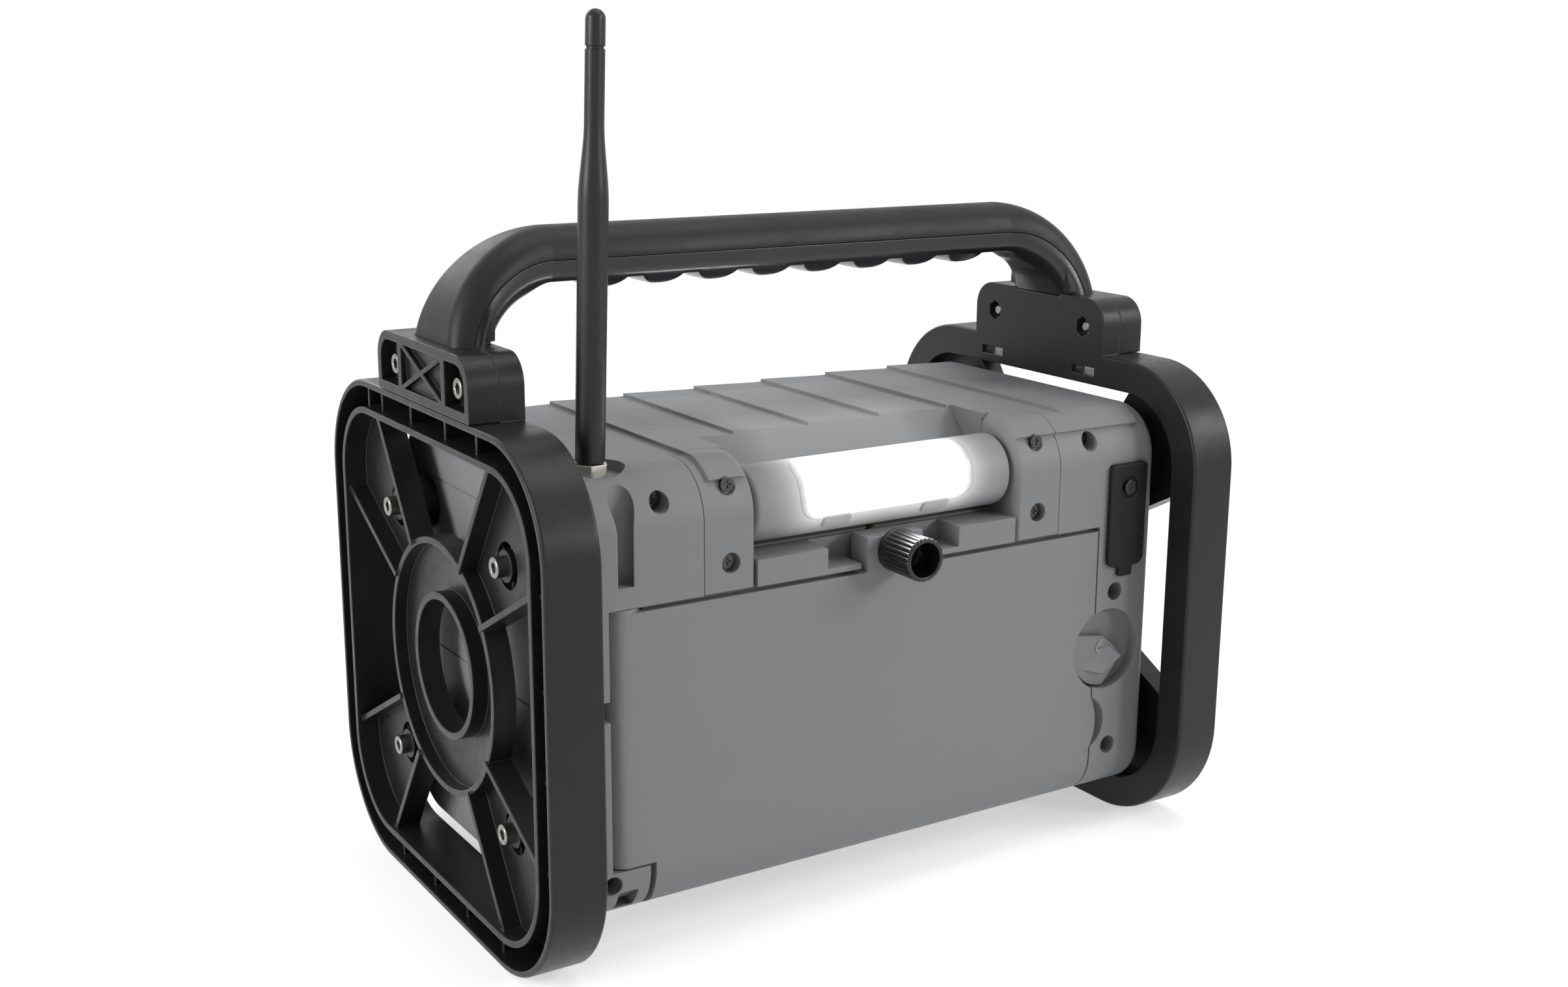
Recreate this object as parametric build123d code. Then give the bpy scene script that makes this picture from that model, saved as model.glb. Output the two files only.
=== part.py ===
"""Roll-cage jobsite radio, modelled piece by piece.

Frame: millimetres, +Z up, speakers face -Y, lamp and battery door face +Y.
The origin is on the floor, midway between the two side guards.
"""
from build123d import *
from math import atan2, cos, degrees, radians, sin, sqrt
import os

# ---------------------------------------------------------------- clearances
GAP = 0.3            # between neighbouring pieces that aren't a fit
RUN = 0.05           # radial clearance of a shaft in its bore
SHUT = 0.15          # between two shells screwed together

# ---------------------------------------------------------------- whole radio
WIDTH = 340.0        # over the outer faces of the side guards
GUARD_DEPTH = 222.0
GUARD_HEIGHT = 217.5
GUARD_THICK = 23.3   # side guard, outer face to inner face

# ---------------------------------------------------------------- side guards
TOP_CORNER = 45.0
FOOT_CORNER = 50.0
RIM_BAND = 14.5      # the rim's U-channel, wall to wall
RIM_WALL = 2.6
RIM_EDGE = 1.2       # rounding of the rim's outer edges
GUARD_WEB = 3.0
RIM_RIB = 1.6
RIM_RIB_DROP = 4.0   # cross ribs stop this far below the outer face
TOP_RIBS = (-0.65, -0.505, -0.21, 0.12, 0.4)    # cross ribs on top, as shares of half the depth
SIDE_RIBS = (-0.49, -0.16, 0.16, 0.49)          # cross ribs on the other three sides
HUB_DOWN = 1.2       # hub centre below the guard's middle
HUB_R = 54.2
HUB_LIP_R = 30.9
HUB_HOLE_R = 28.0
HUB_DROP = 3.4       # hub ring below the outer face
HUB_LIP_DROP = 4.7
HUB_FLOOR_DROP = 9.0
HUB_DISH = 2.5       # how far the hub floor falls towards the hole
ARM_DROP = 2.2       # arm ribs below the outer face
ARM_FLOOR_DROP = 10.0
ARM_WALL = 2.4
ARM_ROOT_TOP = (17.0, 36.0)   # the arm's upper edge at the hub, from the guard's middle
ARM_ROOT_LOW = (32.0, 19.4)   # the arm's lower edge at the hub
ARM_TIP_Y = 58.0     # the upper edge where it meets the rim
ARM_TIP_Z = 54.0     # the lower edge where it meets the rim
ARM_FLARE = 8.0      # how much the arm widens behind the rim
BOLT_Y = 56.3        # guard bolts, from the guard's middle
BOLT_Z = 54.8
BOLT_CUP_R = 9.5
BOLT_BOSS_R = 6.5
BOLT_HEAD_DROP = 4.0  # head's outer face below the guard's
CUP_RIBS = 6
CUP_RIB = 1.6
CUP_RIB_DROP = 2.0   # below the arm's floor

# ---------------------------------------------------------------- M5 hardware
M5_R = 2.5
M5_HOLE_R = 2.8
M5_HEAD_R = 4.25
M5_HEAD = 5.0
M5_KEY_AF = 4.0
M5_KEY_DEEP = 2.8
M5_NUT_AF = 8.0
M5_NUT = 4.0
M5_BITE = 14.0       # thread length in the housing
M5_POST_WALL = 3.0   # plastic round a bolt's thread

# ---------------------------------------------------------------- handle and its clamps
CLAMP_HALF = 47.5    # half the clamp's length along Y
CLAMP_TALL = 25.5    # clamp's top above the guard's
CLAMP_CORNER = 12.0
CLAMP_COVER = 12.8   # clamp cover, parting plane to outer face
CLAMP_BOLT_Y = 32.7
CLAMP_BOLT_UP = 11.9  # bolts above the guard's top
CLAMP_FRAME = 3.6
CLAMP_BAY_Y = 21.0    # half the crossed middle bay
CLAMP_POCKET_Y = 24.6  # inner side of a screw pocket
CLAMP_RIB = 1.8
CLAMP_RIB_DEEP = 2.4
CLAMP_HEAD_DROP = 1.7
NUT_DROP = 4.9
SLOT_MID_Y = 34.0    # two slots in each guard's web, under the clamp
SLOT_LONG = 16.0
SLOT_DROP = 6.5      # below the guard's top
SLOT_TALL = 4.0
GRIP_UP = 55.9       # axis of the straight grip above the guard's top
GRIP_R = 13.2
GRIP_FLAT = 0.2      # the grip's section is this much short of a full circle's radius
BEND_R = 40.0
BEND_STEPS = 4
FOOT_THICK = 16.0
FOOT_LONG = 50.0
FOOT_EDGE_R = 7.0
FOOT_UP = 14.0       # where the foot steps in to its tenon, above the guard's top
TENON_THICK = 12.0
TENON_LONG = 38.0
TENON_UP = 3.0       # the tenon's end above the guard's top
BUMPS = 8
BUMP_END_IN = 15.3   # the last bump's end, from the straight grip's end
BUMP_LONG = 19.0
BUMP_DEEP = 3.2
FINGER_END_IN = 2.0  # the same, for the flat between the bumps

# ---------------------------------------------------------------- housing
BODY_GAP = 0.3       # between a guard's inner face and the housing's side
BODY_DEPTH = 172.0
BODY_BOTTOM = 16.6
BODY_DROP = 18.1     # housing's top below the guard's
REAR_CORNER = 22.0
FRONT_CORNER = 26.0
SIDE_EDGE = 4.0
WALL = 3.5
PARTING_IN = 40.0    # from the front face to the parting plane
CORE_WALL = 4.5      # between the housing's hollow and the battery bay
PANELS = 6
PANEL_RIGHT_IN = 60.9  # from the housing's +X side to the first panel
PANEL_LEFT_IN = 8.1
PANEL_CREST = 1.6
PANEL_TROUGH = 0.2
PANEL_EDGE = 25.0    # from the front face to the panels' front end
PANEL_REACH = 48.0   # degrees of the rear top corner that they wrap
PANEL_ROOT = 40.0    # how deep the panels' solid starts below the top
GROOVE_UP = (82.6, 158.6)  # seams on the housing's sides, above its bottom
GROOVE_WIDE = 0.8
GROOVE_DEEP = 0.6

# ---------------------------------------------------------------- lamp
LAMP_R = 15.8
LAMP_IN = 18.3       # lamp's axis, from the housing's rear face
LAMP_DROP = 21.7     # lamp's axis below the housing's top
LAMP_CLEAR = 2.2
LAMP_WALL = 2.0
LAMP_CAP = 2.5
LAMP_EDGE = 2.0      # rounding of the tube's ends
LAMP_END_GAP = 1.5   # between a tube end and its cheek
RECESS_END_IN = 80.4   # from the recess's end to the housing's side
RECESS_TOP_IN = 48.0   # from the recess's upper edge to the rear face
RECESS_SLOPE_IN = 35.5
RECESS_SLOPE_DROP = 12.3
LEDGE_DROP = 40.3    # ledge under the lamp, below the housing's top
TRUNNION_R = 5.0
TRUNNION_LONG = 6.0
LENS_END_IN = 22.0   # from the lens's end to the recess's end
LENS_WIDE = 27.0
LENS_CORNER = 8.0
LENS_TILT = 33.0
LENS_WALL = 1.8
LENS_TAB = 14.0
LENS_TAB_SHARE = 0.284  # a tab's middle, as a share of the lens's length
LENS_TAB_DEEP = 5.0
DIODES = 8
DIODE = 3.6
STRIP_WIDE = 10.0
STRIP_THICK = 1.6
TROUGH_DEEP = 7.5
TROUGH_FLARE = 5.0
TROUGH_WALL = 1.2
TROUGH_GAP = 0.4
CHEEK_WIDE = 24.0
CHEEK_DEEP = 26.0
CHEEK_ROUND = 6.0    # rounding of a cheek's edge beside the lamp
CHEEK_SCREW_IN = 12.0  # from the recess's end to the cheek's screws
CHEEK_SCREW_LOW = 17.9  # lower screw below the lamp's axis
CHEEK_SCREW_HIGH = 13.2

# ---------------------------------------------------------------- door, tongue, thumbscrew
DOOR_DROP = 13.0     # door's top below the ledge
DOOR_GAP = 2.0       # gap above the door
DOOR_FREE_IN = 32.4  # from the housing's -X side to the door's free edge
DOOR_SIDE_GAP = 0.8
DOOR_HINGE_IN = 22.6  # from the housing's +X side to the hinge's axis
DOOR_EDGE_R = 8.0
DOOR_WALL = 4.0
DOOR_WRAP = 28.0     # how far the door reaches under the housing
BLOCK_TALL = 23.8    # corner block that holds the lower hinge pin, above the housing's bottom
BLOCK_IN = 31.1      # from the housing's +X side to the block's free side
BLOCK_SLOT = 2.6     # upright slot between the block and the door
BLOCK_SLIT = 0.8     # level slit between the block and the door
NICK_IN = (17.4, 26.0)   # pocket in the block, from the housing's side
NICK_UP = (5.6, 14.4)    # the same pocket, above the housing's bottom
NICK_DEEP = 4.0
STRIP_NOTCH_IN = (9.6, 15.6)   # notch in the strip beside the hinge
STRIP_NOTCH_UP = (87.0, 95.6)
STRIP_NOTCH_DEEP = 6.0
PIN_R = 2.0
PIN_LONG = 16.0
TONGUE_X = -1.5
TONGUE_HALF = 14.0
TONGUE_UP = 1.6      # tongue's top above the ledge
TONGUE_THICK = 12.0
TONGUE_GAP = 3.0
TONGUE_ROOT = 6.0    # how far the tongue reaches down into the door
NOTCH_HALF = 33.5
NOTCH_DROP = 8.7     # notch's floor below the ledge
NOTCH_DEEP = 16.0
KNOB_R = 9.3
KNOB_LONG = 21.0
KNOB_DROP = 4.8      # knob's axis below the ledge
KNOB_RIBS = 26
KNOB_GROOVE_R = 0.7
KNOB_GROOVE_OUT = 0.25  # groove centres outside the knob's radius
KNOB_COLLAR = 2.5
KNOB_CUP_R = 7.4
KNOB_CUP_DEEP = 13.0
SHANK_R = 3.0
SHANK_BITE = 6.0
SHANK_SLACK = 1.0
RING_GROOVE = 0.6    # depth of the retaining ring's groove
RING_THICK = 1.0
RING_PROUD = 1.6
SEAL_WIDE = 2.4
SEAL_DEEP = 1.4
SEAL_MARGIN = 2.0    # from the bay's edge to the seal
SEAL_CORNER = 3.0
INSERT_R = 5.6
INSERT_LONG = 9.0

# ---------------------------------------------------------------- latch
LATCH_IN = 24.4      # from the housing's -X side to the latch's axis
LATCH_UP = 73.0      # latch's axis above the housing's bottom
LATCH_R = 19.0
LATCH_SLACK = 0.5
LATCH_DEEP = 6.0
LATCH_PLATE = 3.2
LATCH_CHORD = 6.6
LATCH_FIN_LONG = 27.0
LATCH_FIN_WIDE = 8.0
LATCH_FIN_BACK = 3.0   # how far the ridge's steep side runs past its middle
LATCH_FIN_CREST = (0.6, 2.2)
LATCH_FIN_TALL = 2.4
LATCH_FIN_DROP = 5.5
LATCH_FIN_TURN = 25.0
LATCH_PIVOT_R = 2.6
LATCH_SCREW_R = 2.0
LATCH_SCREW_LONG = 12.0
LATCH_HEAD_R = 4.2
LATCH_HEAD_ROOM = 0.6  # between the pivot's head and its recess
LATCH_HEAD = 1.2
LATCH_RECESS = 1.0
SLOT_WIDE = 1.0      # driver slot in the pivot's head
SLOT_DEEP = 0.7
SCOOP_UP = 38.5      # finger scoop beside the door, above the housing's bottom
SCOOP_HALF = 12.5
SCOOP_OUT = 8.4
SCOOP_LIFT = 1.5     # scoop sphere's middle behind the rear face
DOOR_BULGE = 3.2

# ---------------------------------------------------------------- sockets and their cover
COVER_IN = 17.1      # from the housing's -X side to the cover's middle
COVER_WIDE = 25.4
COVER_LOW_DROP = 72.3   # cover's lower edge below the housing's top
COVER_HIGH_DROP = 22.1
COVER_THICK = 2.4
COVER_CORNER = 6.0
COVER_TOP_CORNER = 3.0
COVER_TAB_WIDE = 12.0
COVER_TAB_LONG = 6.5
COVER_TAB_ROOT = 6.0
COVER_TAB_CORNER = 2.0
COVER_SCREW_DROP = 33.9
COVER_SCREW_R = 3.2
COVER_SCREW_HEAD = 1.6
COVER_SCREW_ROOM = 2.4
COVER_SCREW_SHANK = 1.5
COVER_SCREW_LONG = 12.0
COVER_RECESS = 1.4   # cover's thickness under the screw's head
SOCKET_WIDE = 20.0
SOCKET_TALL = 29.0
SOCKET_UP = 3.0      # sockets' opening above the cover's lower edge
SOCKET_DEEP = 3.0
SOCKET_ROOM = 14.0   # the opening's whole depth
SOCKET_PLATE = 2.0
SOCKET_WALL = 1.6
SOCKET_FLOOR = 2.0
SOCKET_PIN_R = 1.0
POWER_SOCKET = (9.0, 5.5)    # height in the opening, radius
SOUND_SOCKET = (22.0, 4.0)

# ---------------------------------------------------------------- antenna
ANT_SIDE_IN = 20.4   # from the housing's +X side to the antenna
ANT_REAR_IN = 26.0
ANT_LEAN = 2.0       # degrees towards -X
ANT_FLAT_R = 13.5
ANT_FLAT_DROP = 3.8  # flat under the nut, below the housing's top
ANT_NUT_AF = 12.4
ANT_NUT = 5.0
ANT_NUT_TURN = 12.0
ANT_R = 5.85
ANT_FOOT = 0.8       # chamfer at the sleeve's foot
ANT_TIP_R = 3.8
ANT_LONG = 174.9     # tip above the flat
ANT_TAPER_LOW = 108.4
ANT_TAPER_HIGH = 131.4
ANT_GROOVE_UP = 160.9
ANT_GROOVE = 0.5
ANT_STUD_R = 3.0
ANT_STUD_LONG = 12.0
ANT_STUD_BITE = 4.0  # length of the stud in the sleeve
POCKET_IN = 21.9     # from the housing's +X side to the groove below the antenna
POCKET_R = 5.2
POCKET_DROP = 42.7   # groove's lower end below the housing's top
POCKET_DEEP = 4.0

# ---------------------------------------------------------------- rear screws
SCREW_HOLE_R = 4.2
SCREW_HOLE_DEEP = 11.0
SCREW_HEAD_R = 3.6
SCREW_HEAD = 2.4
SCREW_SHANK_R = 1.9
SCREW_LONG = 16.0
SCREW_TOP_IN = 37.9     # upper pair, from the housing's sides
SCREW_TOP_DROP = 11.8
SCREW_LEFT_IN = 20.8    # pair on the -X side
SCREW_LEFT_UP = (25.6, 99.9)
SCREW_BLOCK_IN = 14.2   # one in the corner block
SCREW_BLOCK_UP = 18.5
CROSS_LONG = 1.1        # cross recess, as shares of the head's radius
CROSS_WIDE = 0.3
CHEEK_HOLE_DEEP = 4.5
CHEEK_HEAD_R = 3.0
CHEEK_SHANK_R = 1.4
CHEEK_HEAD = 1.8
CHEEK_BITE = 6.0     # how far the screw goes into the housing

# ---------------------------------------------------------------- battery bay
CELL_R = 16.6        # D cells, two rows of three
CELLS_IN_ROW = 3
CELL_ROWS = 2
CELL_PITCH = 36.0
CELL_SLACK = 0.1
BAY_SIDE = 27.4      # from the door's free edge and its hinge to the rows' ends
BAY_UP = 3.7         # bay's middle above the door's middle
BAY_END = 6.5        # room for a contact at each end of a row
BAY_SADDLE = 10.0    # from the bay's floor to the cells' underside, with the seat's margin
TRAY_WALL = 2.0
TRAY_RIM = 0.55      # tray's edge above the cells' axis, as a share of their radius
SADDLE = 0.4         # a saddle's top below the axis, the same way
SADDLE_HALF = 1.0
CONTACT_THICK = 0.6
CONTACT_HALF = 9.0
SPRING_R = 7.0
SPRING_TIP_R = 3.0
CELL_CAP_R = 4.8
CELL_CAP = 1.4

# ---------------------------------------------------------------- front
SPEAKER_UP = 89.4    # speakers' axis above the housing's bottom
SPEAKER_MARGIN = 6.7  # from a grille to the panel and to the housing's side
GRILLE_THICK = 3.0
GRILLE_PROUD = 1.6
GRILLE_BARS = 7
GRILLE_SLOT = 6.0
GRILLE_RIM = 7.0
DRIVER_IN = 4.0      # driver's radius inside the grille's
DRIVER_LIP = 5.0
DRIVER_FLANGE = 3.0
DRIVER_DEEP = 34.0
BASKET_WALL = 2.0
CONE_ROLL = 5.0
CONE_THICK = 1.2
CONE_DEEP = 17.0
DUST_CAP_R = 12.0
MAGNET_R = 30.0
MAGNET_LONG = 15.0
PANEL_HALF = 31.0
PANEL_UP = 23.4      # panel's lower edge above the housing's bottom
PANEL_DROP = 23.4    # and its upper edge below the housing's top
PANEL_THICK = 6.0
PANEL_PROUD = 1.5
PANEL_CORNER = 4.0
WINDOW_HALF = 24.0
WINDOW_DROP = 10.0   # window's upper edge below the panel's
WINDOW_TALL = 34.0
WINDOW_CORNER = 2.0
WINDOW_THICK = 2.0
WINDOW_LEDGE = 2.0
DISPLAY_DEEP = 6.0
KEY_WIDE = 13.0
KEY_TALL = 7.0
KEY_PITCH_X = 18.0
KEY_PITCH_Z = 14.0
KEY_DROP = 14.0      # upper keys below the window
KEY_PROUD = 2.0
KEY_TRAVEL = 1.2
KEY_CORNER = 1.5
KEY_FLANGE = 1.5
KEY_LIP = 1.0
KEY_BOARD_IN = 1.0   # key board's edge inside the panel's
KEY_BOARD_TALL = 36.0
KEY_POST_R = 2.0
KEY_POST_IN = 3.0    # posts from the key board's edges
DIAL_R = 15.0
DIAL_LONG = 13.0
DIAL_DROP = 33.0     # dial's axis below the lower keys
DIAL_RIBS = 30
DIAL_RIB_R = 0.9
SLEEVE_R = 4.0
VOLUME_R = 8.0
VOLUME_LONG = 6.0
VOLUME_RIBS = 18
VOLUME_RIB_R = 0.7
RIB_FOOT = 2.0       # plain band at the back of a ribbed knob
SHAFT_R = 2.5
SLEEVE_BACK = 6.0    # how far the dial's sleeve reaches behind the panel
SHAFT_BACK = 9.0
ENCODER_HALF = 9.0
ENCODER_LONG = 11.0

BOARD_WIDE = 150.0
BOARD_TALL = 100.0
BOARD_THICK = 1.6
BOARD_EDGE = 6.0     # posts from the board's edges
SHIELD = (-30.0, 10.0, -20.0, 15.0)    # radio shield on the board: X, then Z
SHIELD_TALL = 6.0
SINK = (25.0, 60.0, -30.0, 30.0)       # heat sink on the board: X, then Z
SINK_TALL = 14.0
POST_R = 4.0
POST_LONG = 12.0

# ---------------------------------------------------------------- worked-out places
GUARD_OUT = WIDTH / 2
GUARD_IN = GUARD_OUT - GUARD_THICK
GUARD_HALF = GUARD_DEPTH / 2
MID_Z = GUARD_HEIGHT / 2
HUB_Z = MID_Z - HUB_DOWN
ARM_FLOOR_X = GUARD_OUT - ARM_FLOOR_DROP
ARM_BACK_X = ARM_FLOOR_X - GUARD_WEB
BOLT_SEAT = GUARD_OUT - BOLT_HEAD_DROP - M5_HEAD

CLAMP_TOP = GUARD_HEIGHT + CLAMP_TALL
CLAMP_SPLIT = GUARD_OUT - CLAMP_COVER
CLAMP_BOLT_Z = GUARD_HEIGHT + CLAMP_BOLT_UP
CLAMP_SEAT = GUARD_OUT - CLAMP_HEAD_DROP - M5_HEAD
NUT_FACE = GUARD_IN + NUT_DROP
GRIP_Z = GUARD_HEIGHT + GRIP_UP
FOOT_END = GUARD_HEIGHT + FOOT_UP
TENON_END = GUARD_HEIGHT + TENON_UP
GRIP_END = CLAMP_SPLIT - BEND_R
BEND_Z = GRIP_Z - BEND_R
BUMP_PITCH = (2 * (GRIP_END - BUMP_END_IN) - BUMP_LONG) / (BUMPS - 1)

BODY_HALF = GUARD_IN - BODY_GAP
BODY_TOP = GUARD_HEIGHT - BODY_DROP
REAR_Y = BODY_DEPTH / 2
FRONT_Y = -BODY_DEPTH / 2
PARTING_Y = FRONT_Y + PARTING_IN
PANEL_START = BODY_HALF - PANEL_RIGHT_IN
PANEL_STEP = (PANEL_START + BODY_HALF - PANEL_LEFT_IN) / PANELS

LAMP_Y = REAR_Y - LAMP_IN
LAMP_Z = BODY_TOP - LAMP_DROP
LEDGE_Z = BODY_TOP - LEDGE_DROP
RECESS_HALF = BODY_HALF - RECESS_END_IN
RECESS_TOP_Y = REAR_Y - RECESS_TOP_IN
RECESS_SLOPE_Y = REAR_Y - RECESS_SLOPE_IN
RECESS_SLOPE_Z = BODY_TOP - RECESS_SLOPE_DROP
LAMP_HALF = RECESS_HALF - LAMP_END_GAP
LENS_LONG = 2 * (RECESS_HALF - LENS_END_IN)
LENS_TAB_X = LENS_LONG * LENS_TAB_SHARE
CHEEK_OUT = RECESS_HALF + CHEEK_WIDE
CHEEK_SCREW_X = RECESS_HALF + CHEEK_SCREW_IN
CHEEK_SCREW_Z = (LAMP_Z - CHEEK_SCREW_LOW, LAMP_Z + CHEEK_SCREW_HIGH)
CHEEK_SEAT = REAR_Y - CHEEK_HOLE_DEEP

DOOR_TOP = LEDGE_Z - DOOR_DROP
DOOR_TOP_EDGE = DOOR_TOP + DOOR_GAP
DOOR_FREE_X = DOOR_FREE_IN - BODY_HALF
DOOR_HINGE_X = BODY_HALF - DOOR_HINGE_IN
DOOR_HINGE_Y = REAR_Y - DOOR_EDGE_R
DOOR_IN_Y = REAR_Y - DOOR_WALL
SEAT_INSET = DOOR_WALL + GAP
SEAT_Y = REAR_Y - SEAT_INSET
BLOCK_TOP = BODY_BOTTOM + BLOCK_TALL
BLOCK_X = BODY_HALF - BLOCK_IN
BLOCK_SWEEP = sqrt((DOOR_HINGE_X - BLOCK_X) ** 2 + DOOR_EDGE_R ** 2) + GAP
TONGUE_TOP = LEDGE_Z + TONGUE_UP
NOTCH_FLOOR = LEDGE_Z - NOTCH_DROP
NOTCH_BACK = REAR_Y - NOTCH_DEEP
KNOB_Z = LEDGE_Z - KNOB_DROP
KNOB_BACK = REAR_Y + GAP
KNOB_CUP_Y = KNOB_BACK + KNOB_LONG - KNOB_CUP_DEEP
RING_Y = REAR_Y - TONGUE_THICK - GAP
LATCH_X = LATCH_IN - BODY_HALF
LATCH_Z = BODY_BOTTOM + LATCH_UP
LATCH_FLOOR = REAR_Y - LATCH_DEEP
SCOOP_Z = BODY_BOTTOM + SCOOP_UP

COVER_X = COVER_IN - BODY_HALF
COVER_LOW = BODY_TOP - COVER_LOW_DROP
COVER_HIGH = BODY_TOP - COVER_HIGH_DROP
COVER_SCREW_Z = BODY_TOP - COVER_SCREW_DROP
SOCKET_LOW = COVER_LOW + SOCKET_UP
SOCKET_HIGH = SOCKET_LOW + SOCKET_TALL
SOCKET_BACK = REAR_Y - SOCKET_ROOM
SOCKET_FACE = REAR_Y - SOCKET_DEEP

ANT_X = BODY_HALF - ANT_SIDE_IN
ANT_Y = REAR_Y - ANT_REAR_IN
ANT_FLAT_Z = BODY_TOP - ANT_FLAT_DROP
POCKET_X = BODY_HALF - POCKET_IN
POCKET_LOW = BODY_TOP - POCKET_DROP
SCREW_SEAT = REAR_Y - SCREW_HOLE_DEEP
REAR_SCREWS = (
    (BODY_HALF - SCREW_TOP_IN, BODY_TOP - SCREW_TOP_DROP), (SCREW_TOP_IN - BODY_HALF, BODY_TOP - SCREW_TOP_DROP),
    (SCREW_LEFT_IN - BODY_HALF, BODY_BOTTOM + SCREW_LEFT_UP[0]),
    (SCREW_LEFT_IN - BODY_HALF, BODY_BOTTOM + SCREW_LEFT_UP[1]),
    (BODY_HALF - SCREW_BLOCK_IN, BODY_BOTTOM + SCREW_BLOCK_UP))

CELL_LONG = (DOOR_HINGE_X - DOOR_FREE_X - 2 * BAY_SIDE) / CELLS_IN_ROW
BAY_MID_X = (DOOR_HINGE_X + DOOR_FREE_X) / 2
BAY_MID_Z = (BODY_BOTTOM + DOOR_TOP) / 2 + BAY_UP
BAY_HALF = CELLS_IN_ROW * CELL_LONG / 2 + BAY_END + TRAY_WALL + GAP
BAY_HALF_Z = CELL_ROWS * CELL_PITCH / 2 + TRAY_WALL + GAP
BAY_FLOOR = SEAT_Y - 2 * CELL_R - BAY_SADDLE
CELL_Y = BAY_FLOOR + GAP + TRAY_WALL + GAP + CELL_R
TRAY_TOP = CELL_Y + TRAY_RIM * CELL_R
CORE_REAR = BAY_FLOOR - CORE_WALL

PANEL_LOW = BODY_BOTTOM + PANEL_UP
PANEL_HIGH = BODY_TOP - PANEL_DROP
PANEL_FRONT = FRONT_Y - PANEL_PROUD
PANEL_BACK = PANEL_FRONT + PANEL_THICK
SPEAKER_X = (BODY_HALF + PANEL_HALF) / 2
SPEAKER_Z = BODY_BOTTOM + SPEAKER_UP
GRILLE_R = (BODY_HALF - PANEL_HALF) / 2 - SPEAKER_MARGIN
DRIVER_R = GRILLE_R - DRIVER_IN
BASKET_BACK = FRONT_Y + WALL + DRIVER_DEEP
WINDOW_HIGH = PANEL_HIGH - WINDOW_DROP
WINDOW_LOW = WINDOW_HIGH - WINDOW_TALL
KEY_TOP_Z = WINDOW_LOW - KEY_DROP
KEY_LOW_Z = KEY_TOP_Z - KEY_PITCH_Z
KEY_BOARD_Z = (KEY_TOP_Z + KEY_LOW_Z) / 2
KEY_BOARD_Y = PANEL_BACK + 2 * GAP + KEY_FLANGE + KEY_TRAVEL
DIAL_Z = KEY_LOW_Z - DIAL_DROP
DIAL_BACK = PANEL_FRONT - GAP
VOLUME_BACK = DIAL_BACK - DIAL_LONG - GAP
SLEEVE_END = PANEL_BACK + SLEEVE_BACK
SHAFT_END = PANEL_BACK + SHAFT_BACK


# ================================================================ helpers
def block(x0, x1, y0, y1, z0, z1):
    """A rectangular solid between two corners."""
    centre = Pos((x0 + x1) / 2, (y0 + y1) / 2, (z0 + z1) / 2)
    return centre * Box(x1 - x0, y1 - y0, z1 - z0)


def rod_x(y, z, r, x0, x1):
    """A cylinder along X."""
    return Pos((x0 + x1) / 2, y, z) * Rot(0, 90, 0) * Cylinder(r, x1 - x0)


def rod_y(x, z, r, y0, y1):
    """A cylinder along Y."""
    return Pos(x, (y0 + y1) / 2, z) * Rot(90, 0, 0) * Cylinder(r, y1 - y0)


def rod_z(x, y, r, z0, z1):
    """A cylinder along Z."""
    return Pos(x, y, (z0 + z1) / 2) * Cylinder(r, z1 - z0)


def prism_x(face, x0, x1):
    """Extrude a face drawn in (Y, Z) from x0 to x1."""
    return extrude(Plane.YZ.offset(x0) * face, x1 - x0)


def prism_y(face, y0, y1):
    """Extrude a face drawn in (X, Z) from y0 to y1."""
    return extrude(Plane(origin=(0, y1, 0), x_dir=(1, 0, 0), z_dir=(0, -1, 0)) * face, y1 - y0)


def prism_z(face, z0, z1):
    """Extrude a face drawn in (X, Y) from z0 to z1."""
    return extrude(Plane.XY.offset(z0) * face, z1 - z0)


def outline(*points):
    """A filled polygon."""
    return make_face(Polyline(*points, close=True).edges())


def rectangle(a0, a1, b0, b1):
    """A filled rectangle between two corners."""
    return Pos((a0 + a1) / 2, (b0 + b1) / 2) * Rectangle(a1 - a0, b1 - b0)


def round_rectangle(a0, a1, b0, b1, r):
    """A filled rectangle with round corners."""
    return Pos((a0 + a1) / 2, (b0 + b1) / 2) * RectangleRounded(a1 - a0, b1 - b0, r)


def both_sides(shape):
    """A shape and its mirror image across the radio's middle plane."""
    return [shape, mirror(shape, about=Plane.YZ)]


def save(shapes, node):
    """Write one node's solids as a STEP file."""
    if not isinstance(shapes, (list, tuple)):
        shapes = [shapes]
    solids = [solid for shape in shapes for solid in shape.solids()]
    whole = solids[0] if len(solids) == 1 else Compound(children=solids)
    export_step(whole, f"parts/{node}.step")


# ================================================================ fasteners
def hex_prism(across_flats, length):
    """A hexagonal prism standing on the XY plane."""
    return extrude(RegularPolygon(across_flats / sqrt(3), 6), length)


def cap_screw(length):
    """M5 socket-head screw: its seat at Z 0, the head above, the shank below."""
    head = Pos(0, 0, M5_HEAD / 2) * Cylinder(M5_HEAD_R, M5_HEAD)
    key = Pos(0, 0, M5_HEAD - M5_KEY_DEEP) * hex_prism(M5_KEY_AF, M5_KEY_DEEP)
    shank = Pos(0, 0, -length / 2) * Cylinder(M5_R, length)
    return head - key + shank


def pan_screw(head_r, head, shank_r, length):
    """Cross-head screw: its seat at Z 0, the head above, the shank below."""
    top = Pos(0, 0, head / 2) * Cylinder(head_r, head)
    slot = Box(head_r * CROSS_LONG, head_r * CROSS_WIDE, head)
    cross = Pos(0, 0, head) * (slot + Rot(0, 0, 90) * slot)
    shank = Pos(0, 0, -length / 2) * Cylinder(shank_r, length)
    return top - cross + shank


def facing_out(x, y, z):
    """Places a screw so that its head faces +X."""
    return Pos(x, y, z) * Rot(0, 90, 0)


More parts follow.
